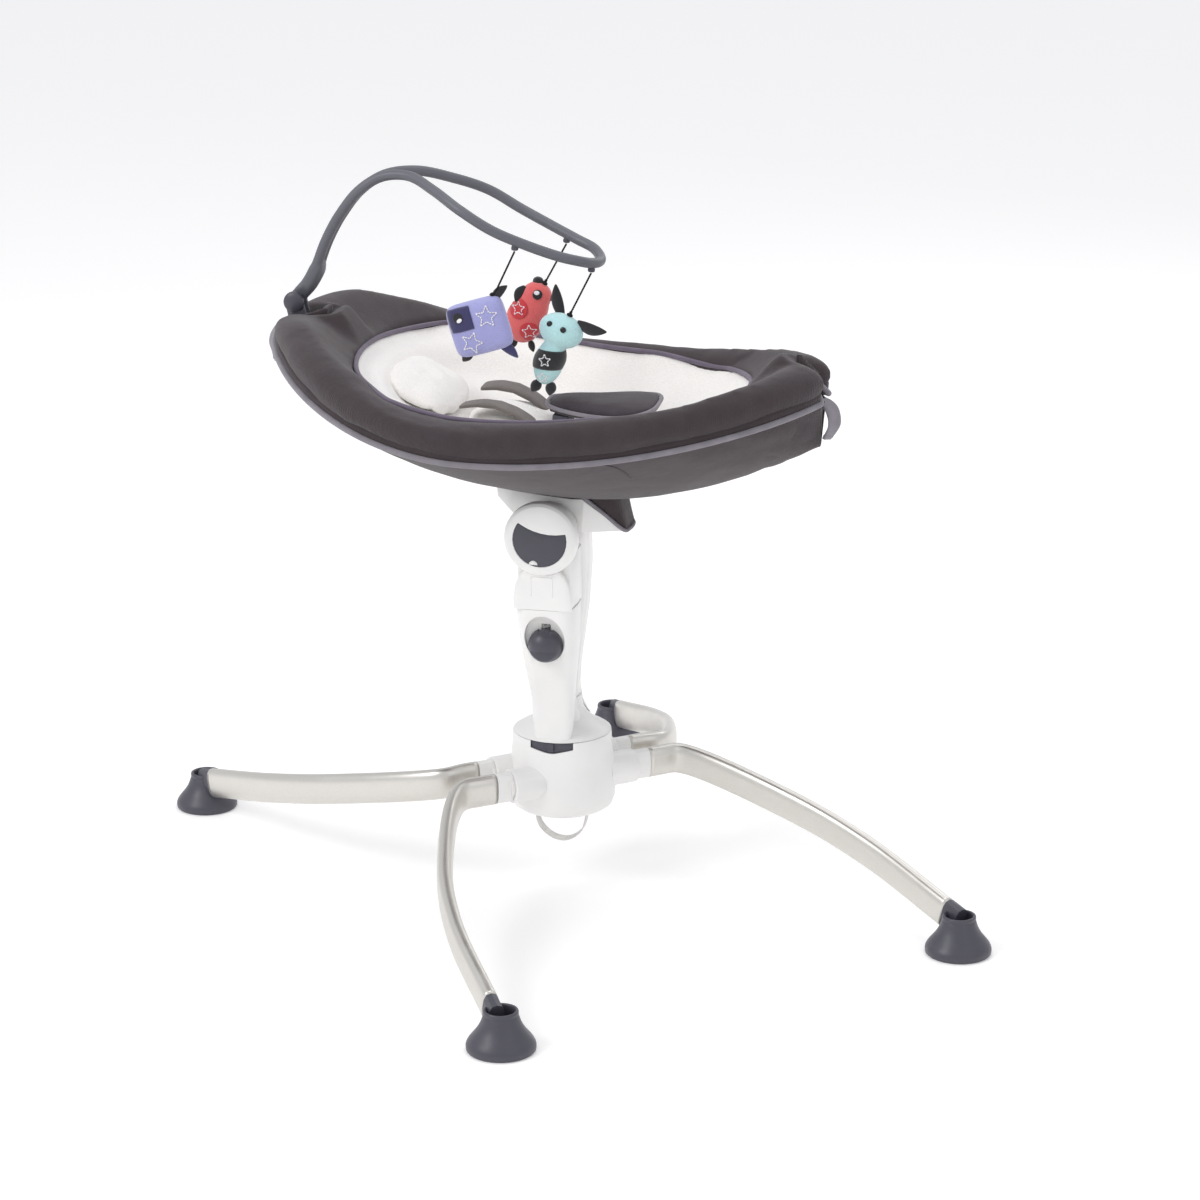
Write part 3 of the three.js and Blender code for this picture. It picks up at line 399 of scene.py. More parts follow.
class Shader:
    """A principled material and the nodes that feed it."""

    def __init__(self, name, **constants):
        self.material = bpy.data.materials.new(name)
        self.material.use_nodes = True
        self.nodes = self.material.node_tree.nodes
        self.links = self.material.node_tree.links
        self.surface = self.nodes["Principled BSDF"]
        self.place = self.nodes.new("ShaderNodeTexCoord").outputs["Object"]
        self.bumps = None
        for socket, value in constants.items():
            self.surface.inputs[socket.replace("_", " ")].default_value = value

    def scaled(self, factors):
        mapping = self.nodes.new("ShaderNodeMapping")
        mapping.inputs["Scale"].default_value = factors
        self.links.new(self.place, mapping.inputs["Vector"])
        return mapping.outputs["Vector"]

    def noise(self, scale, detail=2.0, stretch=(1, 1, 1)):
        node = self.nodes.new("ShaderNodeTexNoise")
        node.inputs["Scale"].default_value = scale
        node.inputs["Detail"].default_value = detail
        self.links.new(self.scaled(stretch), node.inputs["Vector"])
        return node.outputs["Fac"]

    def bands(self, pitch, direction):
        node = self.nodes.new("ShaderNodeTexWave")
        node.bands_direction = direction
        node.inputs["Scale"].default_value = 0.314 / pitch
        node.inputs["Distortion"].default_value = 0.6
        node.inputs["Detail Scale"].default_value = 30
        self.links.new(self.place, node.inputs["Vector"])
        return node.outputs["Fac"]

    def cells(self, scale):
        node = self.nodes.new("ShaderNodeTexVoronoi")
        node.inputs["Scale"].default_value = scale
        self.links.new(self.place, node.inputs["Vector"])
        return node.outputs["Distance"]

    def multiply(self, a, b):
        node = self.nodes.new("ShaderNodeMath")
        node.operation = "MULTIPLY"
        self.links.new(a, node.inputs[0])
        self.links.new(b, node.inputs[1])
        return node.outputs[0]

    def ramp(self, source, stops):
        node = self.nodes.new("ShaderNodeValToRGB")
        ramp = node.color_ramp
        for place, value in stops[1:-1]:
            ramp.elements.new(place).color = value
        ramp.elements[0].position, ramp.elements[0].color = stops[0]
        ramp.elements[-1].position, ramp.elements[-1].color = stops[-1]
        self.links.new(source, node.inputs["Fac"])
        return node.outputs["Color"]

    def paint(self, source, low, high, near=0.3, far=0.7):
        self.links.new(self.ramp(source, [(near, low), (far, high)]), self.surface.inputs["Base Color"])

    def roughen(self, source, low, high):
        node = self.nodes.new("ShaderNodeMapRange")
        node.inputs["From Min"].default_value = 0.3
        node.inputs["From Max"].default_value = 0.7
        node.inputs["To Min"].default_value = low
        node.inputs["To Max"].default_value = high
        self.links.new(source, node.inputs["Value"])
        self.links.new(node.outputs["Result"], self.surface.inputs["Roughness"])

    def bump(self, source, depth, strength=1.0):
        """Adds relief of depth metres on top of any relief already there."""
        node = self.nodes.new("ShaderNodeBump")
        node.inputs["Distance"].default_value = depth
        node.inputs["Strength"].default_value = strength
        self.links.new(source, node.inputs["Height"])
        if self.bumps:
            self.links.new(self.bumps, node.inputs["Normal"])
        self.bumps = node.outputs["Normal"]
        self.links.new(self.bumps, self.surface.inputs["Normal"])


def woven(name, hexa, pitch=0.0016, depth=0.0003, sheen=0.25, contrast=0.13):
    """Closely woven cloth: two crossing sets of threads, mottled dye and soft small creases."""
    shader = Shader(name, Sheen_Weight=sheen, Sheen_Roughness=0.5, Specular_IOR_Level=0.2)
    mottle = shader.noise(45, 5)
    shader.paint(mottle, colour(hexa, 1 - contrast), colour(hexa, 1 + contrast))
    shader.roughen(mottle, 0.82, 0.97)
    threads = shader.multiply(shader.bands(pitch, "X"), shader.bands(pitch, "Y"))
    shader.bump(shader.noise(28, 3), 0.0016)
    shader.bump(threads, depth, 0.8)
    shader.bump(shader.noise(900, 2), depth)
    return shader.material


def plush(name, hexa, depth=0.0006, sheen=0.5, contrast=0.08):
    """Short-pile or jersey cloth: a soft nap without visible threads."""
    shader = Shader(name, Sheen_Weight=sheen, Sheen_Roughness=0.6, Specular_IOR_Level=0.15)
    nap = shader.noise(520, 4)
    shader.paint(nap, colour(hexa, 1 - contrast), colour(hexa, 1 + contrast / 2))
    shader.roughen(nap, 0.85, 1.0)
    shader.bump(shader.noise(36, 3), 0.0014)
    shader.bump(nap, depth)
    return shader.material


def moulded(name, hexa, rough=(0.3, 0.42), grain=0.00003):
    """Injection-moulded plastic with a fine spark-eroded grain."""
    shader = Shader(name, Specular_IOR_Level=0.5, Coat_Weight=0.05, Coat_Roughness=0.35)
    cloud = shader.noise(18, 4)
    shader.paint(cloud, colour(hexa, 0.965), colour(hexa, 1.02))
    shader.roughen(shader.noise(60, 5), *rough)
    shader.bump(shader.cells(1400), grain)
    shader.bump(shader.noise(5, 2), 0.0004)
    return shader.material


def brushed(name, hexa, rough=(0.3, 0.38)):
    """Satin anodised aluminium with drawn lines."""
    shader = Shader(name, Metallic=0.85)
    lines = shader.noise(260, 4, (1, 1, 3))
    shader.paint(lines, colour(hexa, 0.97), colour(hexa, 1.02))
    shader.roughen(shader.noise(40, 3), *rough)
    shader.bump(lines, 0.00003)
    return shader.material


def webbing(name, hexa, pitch=0.0022):
    """Flat woven strap with ribs across it."""
    shader = Shader(name, Sheen_Weight=0.15, Specular_IOR_Level=0.3)
    ribs = shader.bands(pitch, "Z")
    shader.paint(shader.noise(70, 4), colour(hexa, 0.9), colour(hexa, 1.06))
    shader.roughen(shader.noise(90, 3), 0.7, 0.9)
    shader.bump(ribs, 0.0004)
    shader.bump(shader.noise(700, 2), 0.0002)
    return shader.material


LOOKS = {
    "white_plastic": moulded("white_plastic_look", "edecea", (0.28, 0.4)),
    "dark_plastic": moulded("dark_plastic_look", "46454f", (0.34, 0.5), 0.00005),
    "grey_plastic": moulded("grey_plastic_look", "5f6067", (0.36, 0.5), 0.00005),
    "satin_aluminium": brushed("satin_aluminium_look", "d6d3cd"),
    "steel": brushed("steel_look", "a9abb0", (0.2, 0.34)),
    "charcoal_fabric": woven("charcoal_fabric_look", "40383b"),
    "grey_fabric": woven("grey_fabric_look", "837e85", 0.0012, 0.0002),
    "white_fabric": plush("white_fabric_look", "f6f3ef"),
    "webbing": webbing("webbing_look", "e6e4e1"),
    "strap_fabric": woven("strap_fabric_look", "6f6864", 0.0013),
    "lavender_plush": plush("lavender_plush_look", "a1a2d6"),
    "coral_plush": plush("coral_plush_look", "e76665"),
    "aqua_plush": plush("aqua_plush_look", "b9e2e4"),
    "black_cord": woven("black_cord_look", "1d1c20", 0.0008, 0.0001, 0.1),
}
LINER_PIPING = woven("liner_piping_look", "6e6574", 0.0012, 0.0002)
NAVY = plush("navy_felt_look", "34325f", 0.0003)
RED = plush("red_felt_look", "cc3039", 0.0003)
BLACK = plush("black_felt_look", "1c1b1f", 0.0003)
IVORY = woven("ivory_thread_look", "f2f0f4", 0.0008, 0.0001)
GLASS_EYE = moulded("bead_look", "141318", (0.12, 0.2), 0.00001)
PAD_CLOTH = woven("pad_cloth_look", "433d42", 0.0014)


def finish_piece(obj, body, slot=None, material=None, replaces=()):
    """Gives a new piece its cloth or plastic, ties it to its body and hides the nodes it stands for."""
    obj.data.materials.clear()
    obj.data.materials.append(material or LOOKS[slot])
    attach(obj, body)
    if replaces:
        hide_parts(*replaces)
    return obj


# ---------------------------------------------------------------- stage
def make_stage():
    camera = bpy.data.objects.new("camera", bpy.data.cameras.new("camera"))
    camera.location = (1.0371, -4.2753, 1.7212)
    target = Vector((0.0475, 0.0110, 0.3763))
    camera.rotation_mode = "QUATERNION"
    camera.rotation_quaternion = (target - camera.location).to_track_quat("-Z", "Y")
    camera.data.lens = 108
    camera.data.sensor_width = 36
    bpy.context.scene.collection.objects.link(camera)
    bpy.context.scene.camera = camera

    corners = [[Vector((x, y, 0)) for x in (-FLOOR_HALF, FLOOR_HALF)] for y in (-FLOOR_HALF, FLOOR_HALF)]
    floor = loft("floor", corners, wrap=False, caps=False)
    glow = {"Emission_Color": (1, 1, 1, 1), "Emission_Strength": 0.2}
    surface = Shader("floor_look", Specular_IOR_Level=0.2, **glow)
    surface.paint(surface.noise(60, 2), colour("f5f4f3"), colour("f7f6f5"))
    surface.roughen(surface.noise(80, 2), 0.5, 0.54)
    floor.data.materials.append(surface.material)

    world = bpy.data.worlds.new("studio")
    world.use_nodes = True
    world.node_tree.nodes["Background"].inputs["Color"].default_value = (0.96, 0.97, 1, 1)
    world.node_tree.nodes["Background"].inputs["Strength"].default_value = 0.76
    bpy.context.scene.world = world
    bpy.context.scene.view_settings.view_transform = "Standard"
    for name, place, size, power in (
        ("key", (-2.6, -2.4, 3.2), 1.8, 66),
        ("fill", (3.0, -2.2, 2.2), 2.6, 8),
        ("top", (0.2, 0.6, 3.8), 2.4, 24),
        ("rim", (1.2, 3.2, 2.4), 2.0, 14),
    ):
        light = bpy.data.objects.new(name, bpy.data.lights.new(name, "AREA"))
        light.data.shape = "SQUARE"
        light.data.size = size
        light.data.energy = power
        light.location = place
        light.rotation_mode = "QUATERNION"
        light.rotation_quaternion = (Vector((0, 0, 0.5)) - light.location).to_track_quat("-Z", "Y")
        bpy.context.scene.collection.objects.link(light)


# ---------------------------------------------------------------- toy cords
def cord_start(toy):
    """Where a toy's string meets the toy."""
    return seat_point(*Vector(toy["body"]).lerp(Vector(toy["hanger"]), toy["cord_start"]))


def make_cords():
    for name, toy in TOYS.items():
        start = cord_start(toy)
        end = seat_point(*(Vector(toy["hanger"]) - Vector((0, 0, CORD_GAP))))
        points = [end.lerp(start, i / 14) for i in range(15)]
        curve = bpy.data.curves.new(f"string_{name}", "CURVE")
        curve.dimensions = "3D"
        curve.bevel_depth = TOY_CORD_DIAMETER / 2 * MM
        curve.bevel_resolution = 3
        curve.use_fill_caps = True
        line = curve.splines.new("POLY")
        line.points.add(len(points) - 1)
        for point, place in zip(line.points, points):
            point.co = (*place, 1)
        string = bpy.data.objects.new(f"string_{name}", curve)
        bpy.context.scene.collection.objects.link(string)
        finish_piece(string, f"toy_{name}", "black_cord", replaces=[f"toy_cord_{name}"])


# ---------------------------------------------------------------- rigid parts that stay CAD
SOFT_EDGES = {
    "hub_drum": 0.5, "turret": 0.5, "head_housing": 0.6, "upper_front_cover": 0.4, "rear_shell": 0.6,
    "recline_dial": 0.8, "recline_button": 0.5, "saddle_bracket": 0.8, "height_latch": 0.5,
    "toybar_clamp": 0.5, "toybar_knob": 0.5, "swivel_lock_slider": 0.4, "harness_buckle": 0.6,
    "buckle_button": 0.4,
}
SHARP = math.radians(32)


def make_mouldings():
    """The raised frame on the upper cover and the half-moon mark on the recline button."""
    bm = bmesh.new()
    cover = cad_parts["upper_front_cover"]
    tree = tree_of(cover)
    low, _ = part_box("upper_front_cover")
    half, bottom, top = 0.0137, low.z + 0.018, low.z + 0.043
    corners = [(-half, bottom), (-half, top), (half, top), (half, bottom)]
    for a, b in zip(corners, corners[1:]):
        path = []
        for i in range(12):
            x, z = lerp(a[0], b[0], i / 11), lerp(a[1], b[1], i / 11)
            hit = tree.ray_cast(Vector((x, -0.3, z)), Vector((0, 1, 0)))[0]
            path.append(hit or Vector((x, low.y, z)))
        skin(bm, sweep_rows(path, round_section(0.0007), 8))
    finish_piece(add_object("cover_frame_line", bm), "upper_mast", "white_plastic")
    low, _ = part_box("recline_button")
    mark, radius = Vector((-0.008, low.y, low.z + 0.0024)), 0.0055
    angles = [math.pi * i / 20 for i in range(21)]
    rows = []
    for depth in (0.0003, -0.0006):
        rows.append([mark + Vector((radius * math.cos(a), depth, radius * math.sin(a))) for a in angles])
    finish_piece(loft("button_mark", rows), "recline_button", "white_plastic")


def dress_cad_nodes():
    """Each shown CAD node gets its look, and modifiers that join its facets into smooth faces."""
    for name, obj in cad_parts.items():
        if obj.hide_render:
            continue
        slot = obj.material_slots[0].material.name.split(".")[0]
        obj.material_slots[0].material = LOOKS[slot]
        mesh = obj.data
        mesh.attributes.remove(mesh.attributes["custom_normal"])
        mesh.attributes.remove(mesh.attributes["sharp_edge"])
        mesh.polygons.foreach_set("use_smooth", [True] * len(mesh.polygons))
        weld = obj.modifiers.new("weld", "WELD")
        weld.merge_threshold = 2e-5
        if name in SOFT_EDGES:
            bevel = obj.modifiers.new("soft edges", "BEVEL")
            bevel.width = SOFT_EDGES[name] * MM
            bevel.segments = 2
            bevel.limit_method = "ANGLE"
            bevel.angle_limit = SHARP
            bevel.use_clamp_overlap = True
        split = obj.modifiers.new("facets", "EDGE_SPLIT")
        split.split_angle = SHARP


# ---------------------------------------------------------------- legs and feet
def make_legs():
    wide, high = LEG_SECTION["half_width"] * MM, LEG_SECTION["half_height"] * MM
    oval = [(wide * rounded(math.cos(a), 0.8), high * rounded(math.sin(a), 0.72)) for a in full_turn(40)]
    for name, (hand, turn) in LEGS.items():
        points = [base_point(along, hand * across, z, turn) for along, across, z in LEG_PATH]
        path = smooth_path(points, 90)
        rows = []
        for i, point in enumerate(path):
            before, after = path[max(0, i - 1)], path[min(len(path) - 1, i + 1)]
            along = (after - before).normalized()
            side = Vector((0, 0, 1)).cross(along).normalized()
            rise = along.cross(side)
            rows.append([point + side * s + rise * r for s, r in oval])
        leg = loft(f"leg_{name}_tube", rows)
        finish_piece(leg, f"leg_{name}", "satin_aluminium", replaces=[f"leg_tube_{name}"])

        centre = base_point(FOOT_AT[0], hand * FOOT_AT[1], 0, turn)
        bell = lathe(f"foot_{name}_bell", FOOT_PROFILE, lambda x, y, z: centre + Vector((x, y, z)) * MM, 80)
        finish_piece(bell, f"leg_{name}", "dark_plastic", replaces=[f"foot_{name}"])


# ---------------------------------------------------------------- toy arch
def make_arch():
    near = [(x, -y, z) for x, y, z in RAIL]
    loop = [seat_point(*p) for p in [*near, (22, 0, 333.5), *reversed(RAIL)]]
    rails = tube("arch_rails", smooth_path(loop, 240), ARCH_RADIUS * MM, 20)
    finish_piece(rails, "toy_arch", "grey_plastic", replaces=["toybar_arch"])

    px, _, pz = ARCH_PIVOT
    stem = [(px, 0, pz), (px + 4, 0, pz + 8), (-350, 0, 256), (-340.5, 0, 277), (-338, 0, 290)]
    line = [seat_point(*p) for p in stem]

    def section(share, angle):
        width = lerp(5.2, 14, ease(share, 0.12, 0.5)) * lerp(1, 0.9, ease(share, 0.8, 1))
        depth = lerp(10, 9.5, share) * lerp(1, 0.72, ease(share, 0.75, 1))
        return width * MM * rounded(math.cos(angle), 0.6), depth * MM * rounded(math.sin(angle), 0.7)

    yoke = loft("arch_yoke", sweep_rows(smooth_path(line, 40), section, 32, across=(0, 1, 0)))
    finish_piece(yoke, "toy_arch", "grey_plastic")
    lug = lathe(
        "arch_lug", [(3, -5.2), (9.2, -5.2), (10, -4.6), (10, 4.6), (9.2, 5.2), (3, 5.2)],
        lambda x, y, z: seat_point(px + x, z, pz + y), 40,
    )
    finish_piece(lug, "toy_arch", "grey_plastic")
    for name, toy in TOYS.items():
        hx, hy, hz = toy["hanger"]
        place = lambda x, y, z: seat_point(hx + x, hy + y, hz + z)
        cup = lathe(f"arch_eyelet_{name}", EYELET_PROFILE, place, 32)
        finish_piece(cup, "toy_arch", "dark_plastic")


# ---------------------------------------------------------------- cradle
def hull_rows():
    """The hull's outer skin from the keel to the rim and its inner skin back, as closed rows."""
    around, rings = 160, 34
    rows = []
    for upper in (False, True):
        steps = range(1, rings + 1) if not upper else range(rings - 1, 0, -1)
        for ring in steps:
            reach = 1 - (1 - ring / rings) ** 1.8
            row = []
            for k in range(around):
                x, y = drawn_in(rim_edge(k / around), reach)
                lift = HULL_THICKNESS if upper else 0
                row.append(seat_point(x, y, hull_height(x, y) + lift))
            rows.append(row)
    return rows


def tree_of(obj):
    bm = bmesh.new()
    bm.from_mesh(obj.data)
    return BVHTree.FromBMesh(bm)


def make_hull():
    hull = loft("hull_cover", hull_rows())

    def drape(place):
        fold = noise.noise(place * 9) * 0.0022 + noise.noise(place * 26) * 0.0008
        foot_end = ease(place.x, 0.14, 0.3)
        return fold + noise.noise(Vector((place.x * 40, place.y * 12, place.z * 55))) * 0.0022 * foot_end

    displace(hull, drape)
    finish_piece(hull, "cradle", "charcoal_fabric", replaces=["seat_hull"])

    tree = tree_of(hull)
    for side, hand in (("near", 1), ("far", -1)):
        for mark, (top, bottom) in DARTS.items():
            line = []
            for i in range(20):
                turn, reach = lerp(top, bottom, (i / 19) ** 0.8), lerp(0.985, 0.84, i / 19)
                x, y = drawn_in(rim_edge(hand * turn), reach)
                near, normal, _, _ = tree.find_nearest(seat_point(x, y, hull_height(x, y) - 1))
                line.append(near + normal * 0.0002)
            finish_piece(tube(f"hull_dart_{side}_{mark}", line, 0.0008, 6), "cradle", "charcoal_fabric")


def notch(turn):
    """How far the border's outer edge steps back, in mm, and the same as a share of the full notch."""
    edge = rim_edge(turn)
    depth, low, high = NOTCH["head" if edge.x < RIM["centre"] else "foot"]
    share = 1 - ease(abs(edge.y), low, high)
    return depth * share, share


def border_drop(turn):
    """How far the border sinks towards the arch's notch at the head end, in mm."""
    edge = rim_edge(turn)
    return BORDER_DROP * (1 - ease(abs(edge.y), 25, 125)) if edge.x < RIM["centre"] else 0


def border_section(turn, angle):
    """A point of the padded border's section; angle 0 is its outer edge and pi its inner one."""
    back, _ = notch(turn)
    outer, lip = rim_inset(turn, back - BORDER["overhang"]), liner_edge(turn)
    centre = Vector((RIM["centre"], 0))
    inner = centre + (lip - centre) * (1 - 1 / (lip - centre).length)
    crest = min(0.5, BORDER["crest_at"] / (outer - inner).length)
    share = 0.5 - 0.5 * math.cos(angle)
    fall = ease(share, crest, 1)
    level = lerp(rim_height(rim_edge(turn).x) + BORDER["outer_level"] - 3, liner_lip(lip.x) - 8, fall)
    half = lerp(BORDER["outer_half"] + 2, BORDER["inner_half"], fall) * rounded(math.sin(angle), 0.75)
    if half < 0:
        half *= lerp(1.15, 0.66, ease(share, 0.14, 0.42))
    place = outer.lerp(inner, share)
    return seat_point(place.x, place.y, level + half - border_drop(turn) * (1 - fall))


def make_border():
    steps, around = 300, 40
    rows = []
    for i in range(steps):
        turn = (i + 0.5) / steps
        rows.append([border_section(turn, angle) for angle in full_turn(around)])
    border = loft("padded_border", rows, closed=True)
    inflate(border, 0.005, 0.004)
    subdivide(border)
    relax(border, 0.5, 10)
    displace(border, lambda place: noise.noise(place * 13) * 0.0014 + noise.noise(place * 34) * 0.0006)
    finish_piece(border, "cradle", "charcoal_fabric", replaces=["border_roll_near", "border_roll_far"])

    piping, band = [], []
    for i in range(steps):
        turn = (i + 0.5) / steps
        back, share = notch(turn)
        rise = lerp(PIPING_RISE["rim"], PIPING_RISE["notch"], share)
        foot = rim_height(rim_edge(turn).x) + rise - border_drop(turn) * share
        place = rim_inset(turn, back - 5.5)
        piping.append(seat_point(place.x, place.y, foot))
        front, rear = rim_inset(turn, back - 4.5), rim_inset(turn, back + 1.5)
        corners = ((front, -2.5), (front, 14), (rear, 14), (rear, -2.5))
        band.append([seat_point(p.x, p.y, foot + level) for p, level in corners])
    finish_piece(tube("rim_piping", piping, PIPING["rim"] * MM, 10, closed=True), "cradle", "grey_fabric")
    finish_piece(loft("rim_band", band, closed=True), "cradle", "charcoal_fabric")


def make_liner():
    around, rings, thickness = 160, 30, 15
    bottom, top = [], []
    for ring in range(1, rings + 1):
        reach = 1 - (1 - ring / rings) ** 1.8
        low, high = [], []
        for k in range(around):
            x, y = drawn_in(liner_edge((k + 0.5) / around), reach)
            z = liner_top(x, y)
            edge_round = math.sqrt(max(0, 1 - reach ** 14))
            puff = 13 * math.exp(-((reach - 0.8) / 0.11) ** 2) * (0.35 + 0.65 * (1 - ease(x, -90, 10)))
            high.append(seat_point(x, y, z - 5 + 5 * edge_round + puff))
            low.append(seat_point(x, y, z - 5 - (thickness - 5) * edge_round))
        bottom.append(low)
        top.append(high)
    liner = loft("seat_liner", bottom + top[::-1][1:])

    def quilt(place):
        return noise.noise(place * 17) * 0.0022 + noise.noise(place * 48) * 0.0009

    displace(liner, quilt)
    finish_piece(liner, "cradle", "white_fabric", replaces=["liner"])
    loop = []
    for k in range(220):
        edge = liner_edge((k + 0.5) / 220)
        loop.append(seat_point(edge.x, edge.y, liner_lip(edge.x) - 1))
    piping = tube("liner_piping", loop, PIPING["liner"] * MM, 10, closed=True)
    finish_piece(piping, "cradle", "charcoal_fabric", LINER_PIPING)


def cushion(name, outline, floor, height, rings=14, around=72):
    """A closed pad: outline(turn) gives its edge in mm, height(x, y, reach) its thickness."""
    low, high = [], []
    edges = [Vector(outline(k / around)) for k in range(around)]
    centre = sum(edges, Vector((0, 0))) / around
    for ring in range(1, rings + 1):
        reach = 1 - (1 - ring / rings) ** 1.6
        points = [centre.lerp(edge, reach) for edge in edges]
        low.append([seat_point(p.x, p.y, floor(p.x, p.y)) for p in points])
        high.append([seat_point(p.x, p.y, floor(p.x, p.y) + height(p.x, p.y, reach)) for p in points])
    return loft(name, low + high[::-1])


def super_ellipse(centre, half_length, half_width, power=0.7):
    def outline(turn):
        angle = 2 * math.pi * turn
        return (
            centre[0] - half_length * rounded(math.cos(angle), power),
            centre[1] - half_width * rounded(math.sin(angle), power),
        )
    return outline


def crown(thickness, edge=0.3):
    return lambda x, y, reach: thickness * (edge + (1 - edge) * math.sqrt(max(0, 1 - reach ** 3)))


def make_pads():
    outline = super_ellipse(INSERT["centre"], INSERT["half_length"] - 3, INSERT["half_width"] - 3)
    plain = crown(INSERT["thickness"] - 2)

    def full(x, y, reach):
        return plain(x, y, reach) + 11 * math.exp(-((x + 78) / 42) ** 2 - (y / 38) ** 2)

    insert = cushion("body_insert", outline, on_liner, full)
    inflate(insert, 0.005, 0.005)
    displace(insert, lambda p: -0.003 * math.exp(-(p.y / 0.006) ** 2) + noise.noise(p * 30) * 0.0008)
    finish_piece(insert, "cradle", "white_fabric", replaces=["newborn_insert"])

    def hugger(x, y, reach):
        ring = math.exp(-((reach - 0.62) / 0.3) ** 2)
        return 26 * (0.3 + 0.7 * math.sqrt(max(0, 1 - reach ** 3))) * (0.82 + 0.18 * ring)

    def creases(p):
        fold = math.exp(-((abs(p.y) - 0.03 - 0.25 * (p.x + 0.19)) / 0.004) ** 2)
        return noise.noise(p * 24) * 0.0022 + noise.noise(p * 60) * 0.0007 - 0.001 * fold

    pillow = cushion("pillow", super_ellipse((-184, 0), 46, 79, 0.72), on_liner, hugger)
    inflate(pillow, 0.005, 0.006)
    displace(pillow, creases)
    finish_piece(pillow, "cradle", "white_fabric", replaces=["head_pillow"])

    def arched(x, y):
        share = clamp((x - STRAP_PAD["centre"]) / STRAP_PAD["half_length"], -1, 1)
        return on_insert(x, y) + STRAP_PAD["arch"] * math.cos(share * math.pi / 2)

    def strap_outline(hand):
        size = STRAP_PAD["half_length"], STRAP_PAD["half_width"]
        straight = super_ellipse((STRAP_PAD["centre"], 0), *size, 0.3)

        def outline(turn):
            x, y = straight(turn)
            return x, hand * (STRAP_PAD["aside"] - 0.14 * (x - STRAP_PAD["centre"])) + y

        return outline

    for side, hand in (("near", -1), ("far", 1)):
        thickness = crown(STRAP_PAD["thickness"], 0.6)
        strap = cushion(f"shoulder_pad_{side}", strap_outline(hand), arched, thickness, 10)
        finish_piece(strap, "cradle", "strap_fabric", replaces=[f"harness_strap_{side}"])

    def above_buckle(x, y):
        return on_insert(x, y) + CROTCH_PAD["rise"]

    def tongue(turn, shrink=0.0):
        angle = 2 * math.pi * turn
        along = -rounded(math.cos(angle), 0.62)
        half = lerp(CROTCH_PAD["neck"], CROTCH_PAD["half_width"], ease(along, -0.9, 0.6)) - shrink
        x = CROTCH_PAD["centre"] + (CROTCH_PAD["half_length"] - shrink) * along
        return x, -half * rounded(math.sin(angle), 0.62)

    def seam(y):
        return 10 + 6 * y / CROTCH_PAD["half_width"]

    def tilted_face(x, y, reach):
        return seam(y) + CROTCH_PAD["crown"] * math.sqrt(max(0, 1 - reach ** 3))

    crotch = cushion("crotch_cover", lambda turn: tongue(turn, 3), above_buckle, tilted_face)
    inflate(crotch, 0.004, 0.003)
    finish_piece(crotch, "cradle", "charcoal_fabric", PAD_CLOTH, replaces=["crotch_pad"])
    loop = []
    for k in range(120):
        x, y = tongue((k + 0.5) / 120, 2)
        loop.append(seat_point(x, y, above_buckle(x, y) + seam(y)))
    finish_piece(tube("crotch_piping", loop, PIPING["pad"] * MM, 10, closed=True), "cradle", "grey_fabric")


def make_tabs():
    routes = {
        "head": [(-372, 193), (-384, 196), (-392, 187), (-395, 172), (-391, 160), (-387, 150)],
        "foot": [(317, 196), (323, 193), (331, 184), (334, 168), (331, 156), (327, 148)],
    }
    for end, route in routes.items():
        path = smooth_path([seat_point(x, 0, z) for x, z in route], 40)

        def section(share, angle):
            hem = 1 + 0.5 * math.exp(-((share - 0.93) / 0.03) ** 2)
            width = lerp(9, 11.5, math.sin(math.pi * share)) * MM
            return width * rounded(math.cos(angle), 0.35), 1.7 * hem * MM * rounded(math.sin(angle), 0.5)

        twist = (0.5, 0.87, 0) if end == "foot" else (-0.5, 0.87, 0)
        tab = loft(f"pull_loop_{end}", sweep_rows(path, section, 28, across=twist))
        displace(tab, lambda p: noise.noise(p * 60) * 0.0012)
        finish_piece(tab, "cradle", "grey_fabric", replaces=[f"pull_tab_{end}"])


def make_skirt():
    def half_width(x):
        return lerp(57, 23, clamp((x - 40) / 50.6))

    rows = []
    for i in range(25):
        s = i / 24
        inner, outer, z = lerp(89.4, 34, s), lerp(91.4, 76, s), lerp(0.2, 49, s)
        row = []
        for angle in full_turn(48):
            x = (inner + outer) / 2 + (outer - inner) / 2 * rounded(math.cos(angle), 0.5)
            row.append(seat_point(x, half_width(x) * rounded(math.sin(angle), 0.45), z))
        rows.append(row)
    skirt = loft("saddle_gusset", rows)
    finish_piece(skirt, "cradle", "charcoal_fabric", replaces=["saddle_skirt"])
    edge = [
        (36, -58, 47), (62, -42, 24), (88, -24.5, 0.6), (91.5, -12, 0),
        (91.5, 12, 0), (88, 24.5, 0.6), (62, 41, 24), (36, 57, 47),
    ]
    hem = smooth_path([seat_point(*p) for p in edge], 60)
    finish_piece(tube("saddle_hem", hem, PIPING["skirt"] * MM, 10), "cradle", "grey_fabric")


def make_pull_strap():
    route = [
        (-34, 139.6), (-34, 116), (-34, 92), (-29, 70), (-12, 55),
        (8, 53), (26, 66), (33, 88), (34, 104), (34, 139.6),
    ]
    path = smooth_path([Vector((x, 0, z)) * MM for x, z in route], 80)

    def section(share, angle):
        return 9 * MM * rounded(math.cos(angle), 0.3), 0.9 * MM * rounded(math.sin(angle), 0.5)

    strap = loft("fold_strap", sweep_rows(path, section, 24, across=(0, 1, 0)))
    finish_piece(strap, "fold_release", "webbing", replaces=["pull_strap"])


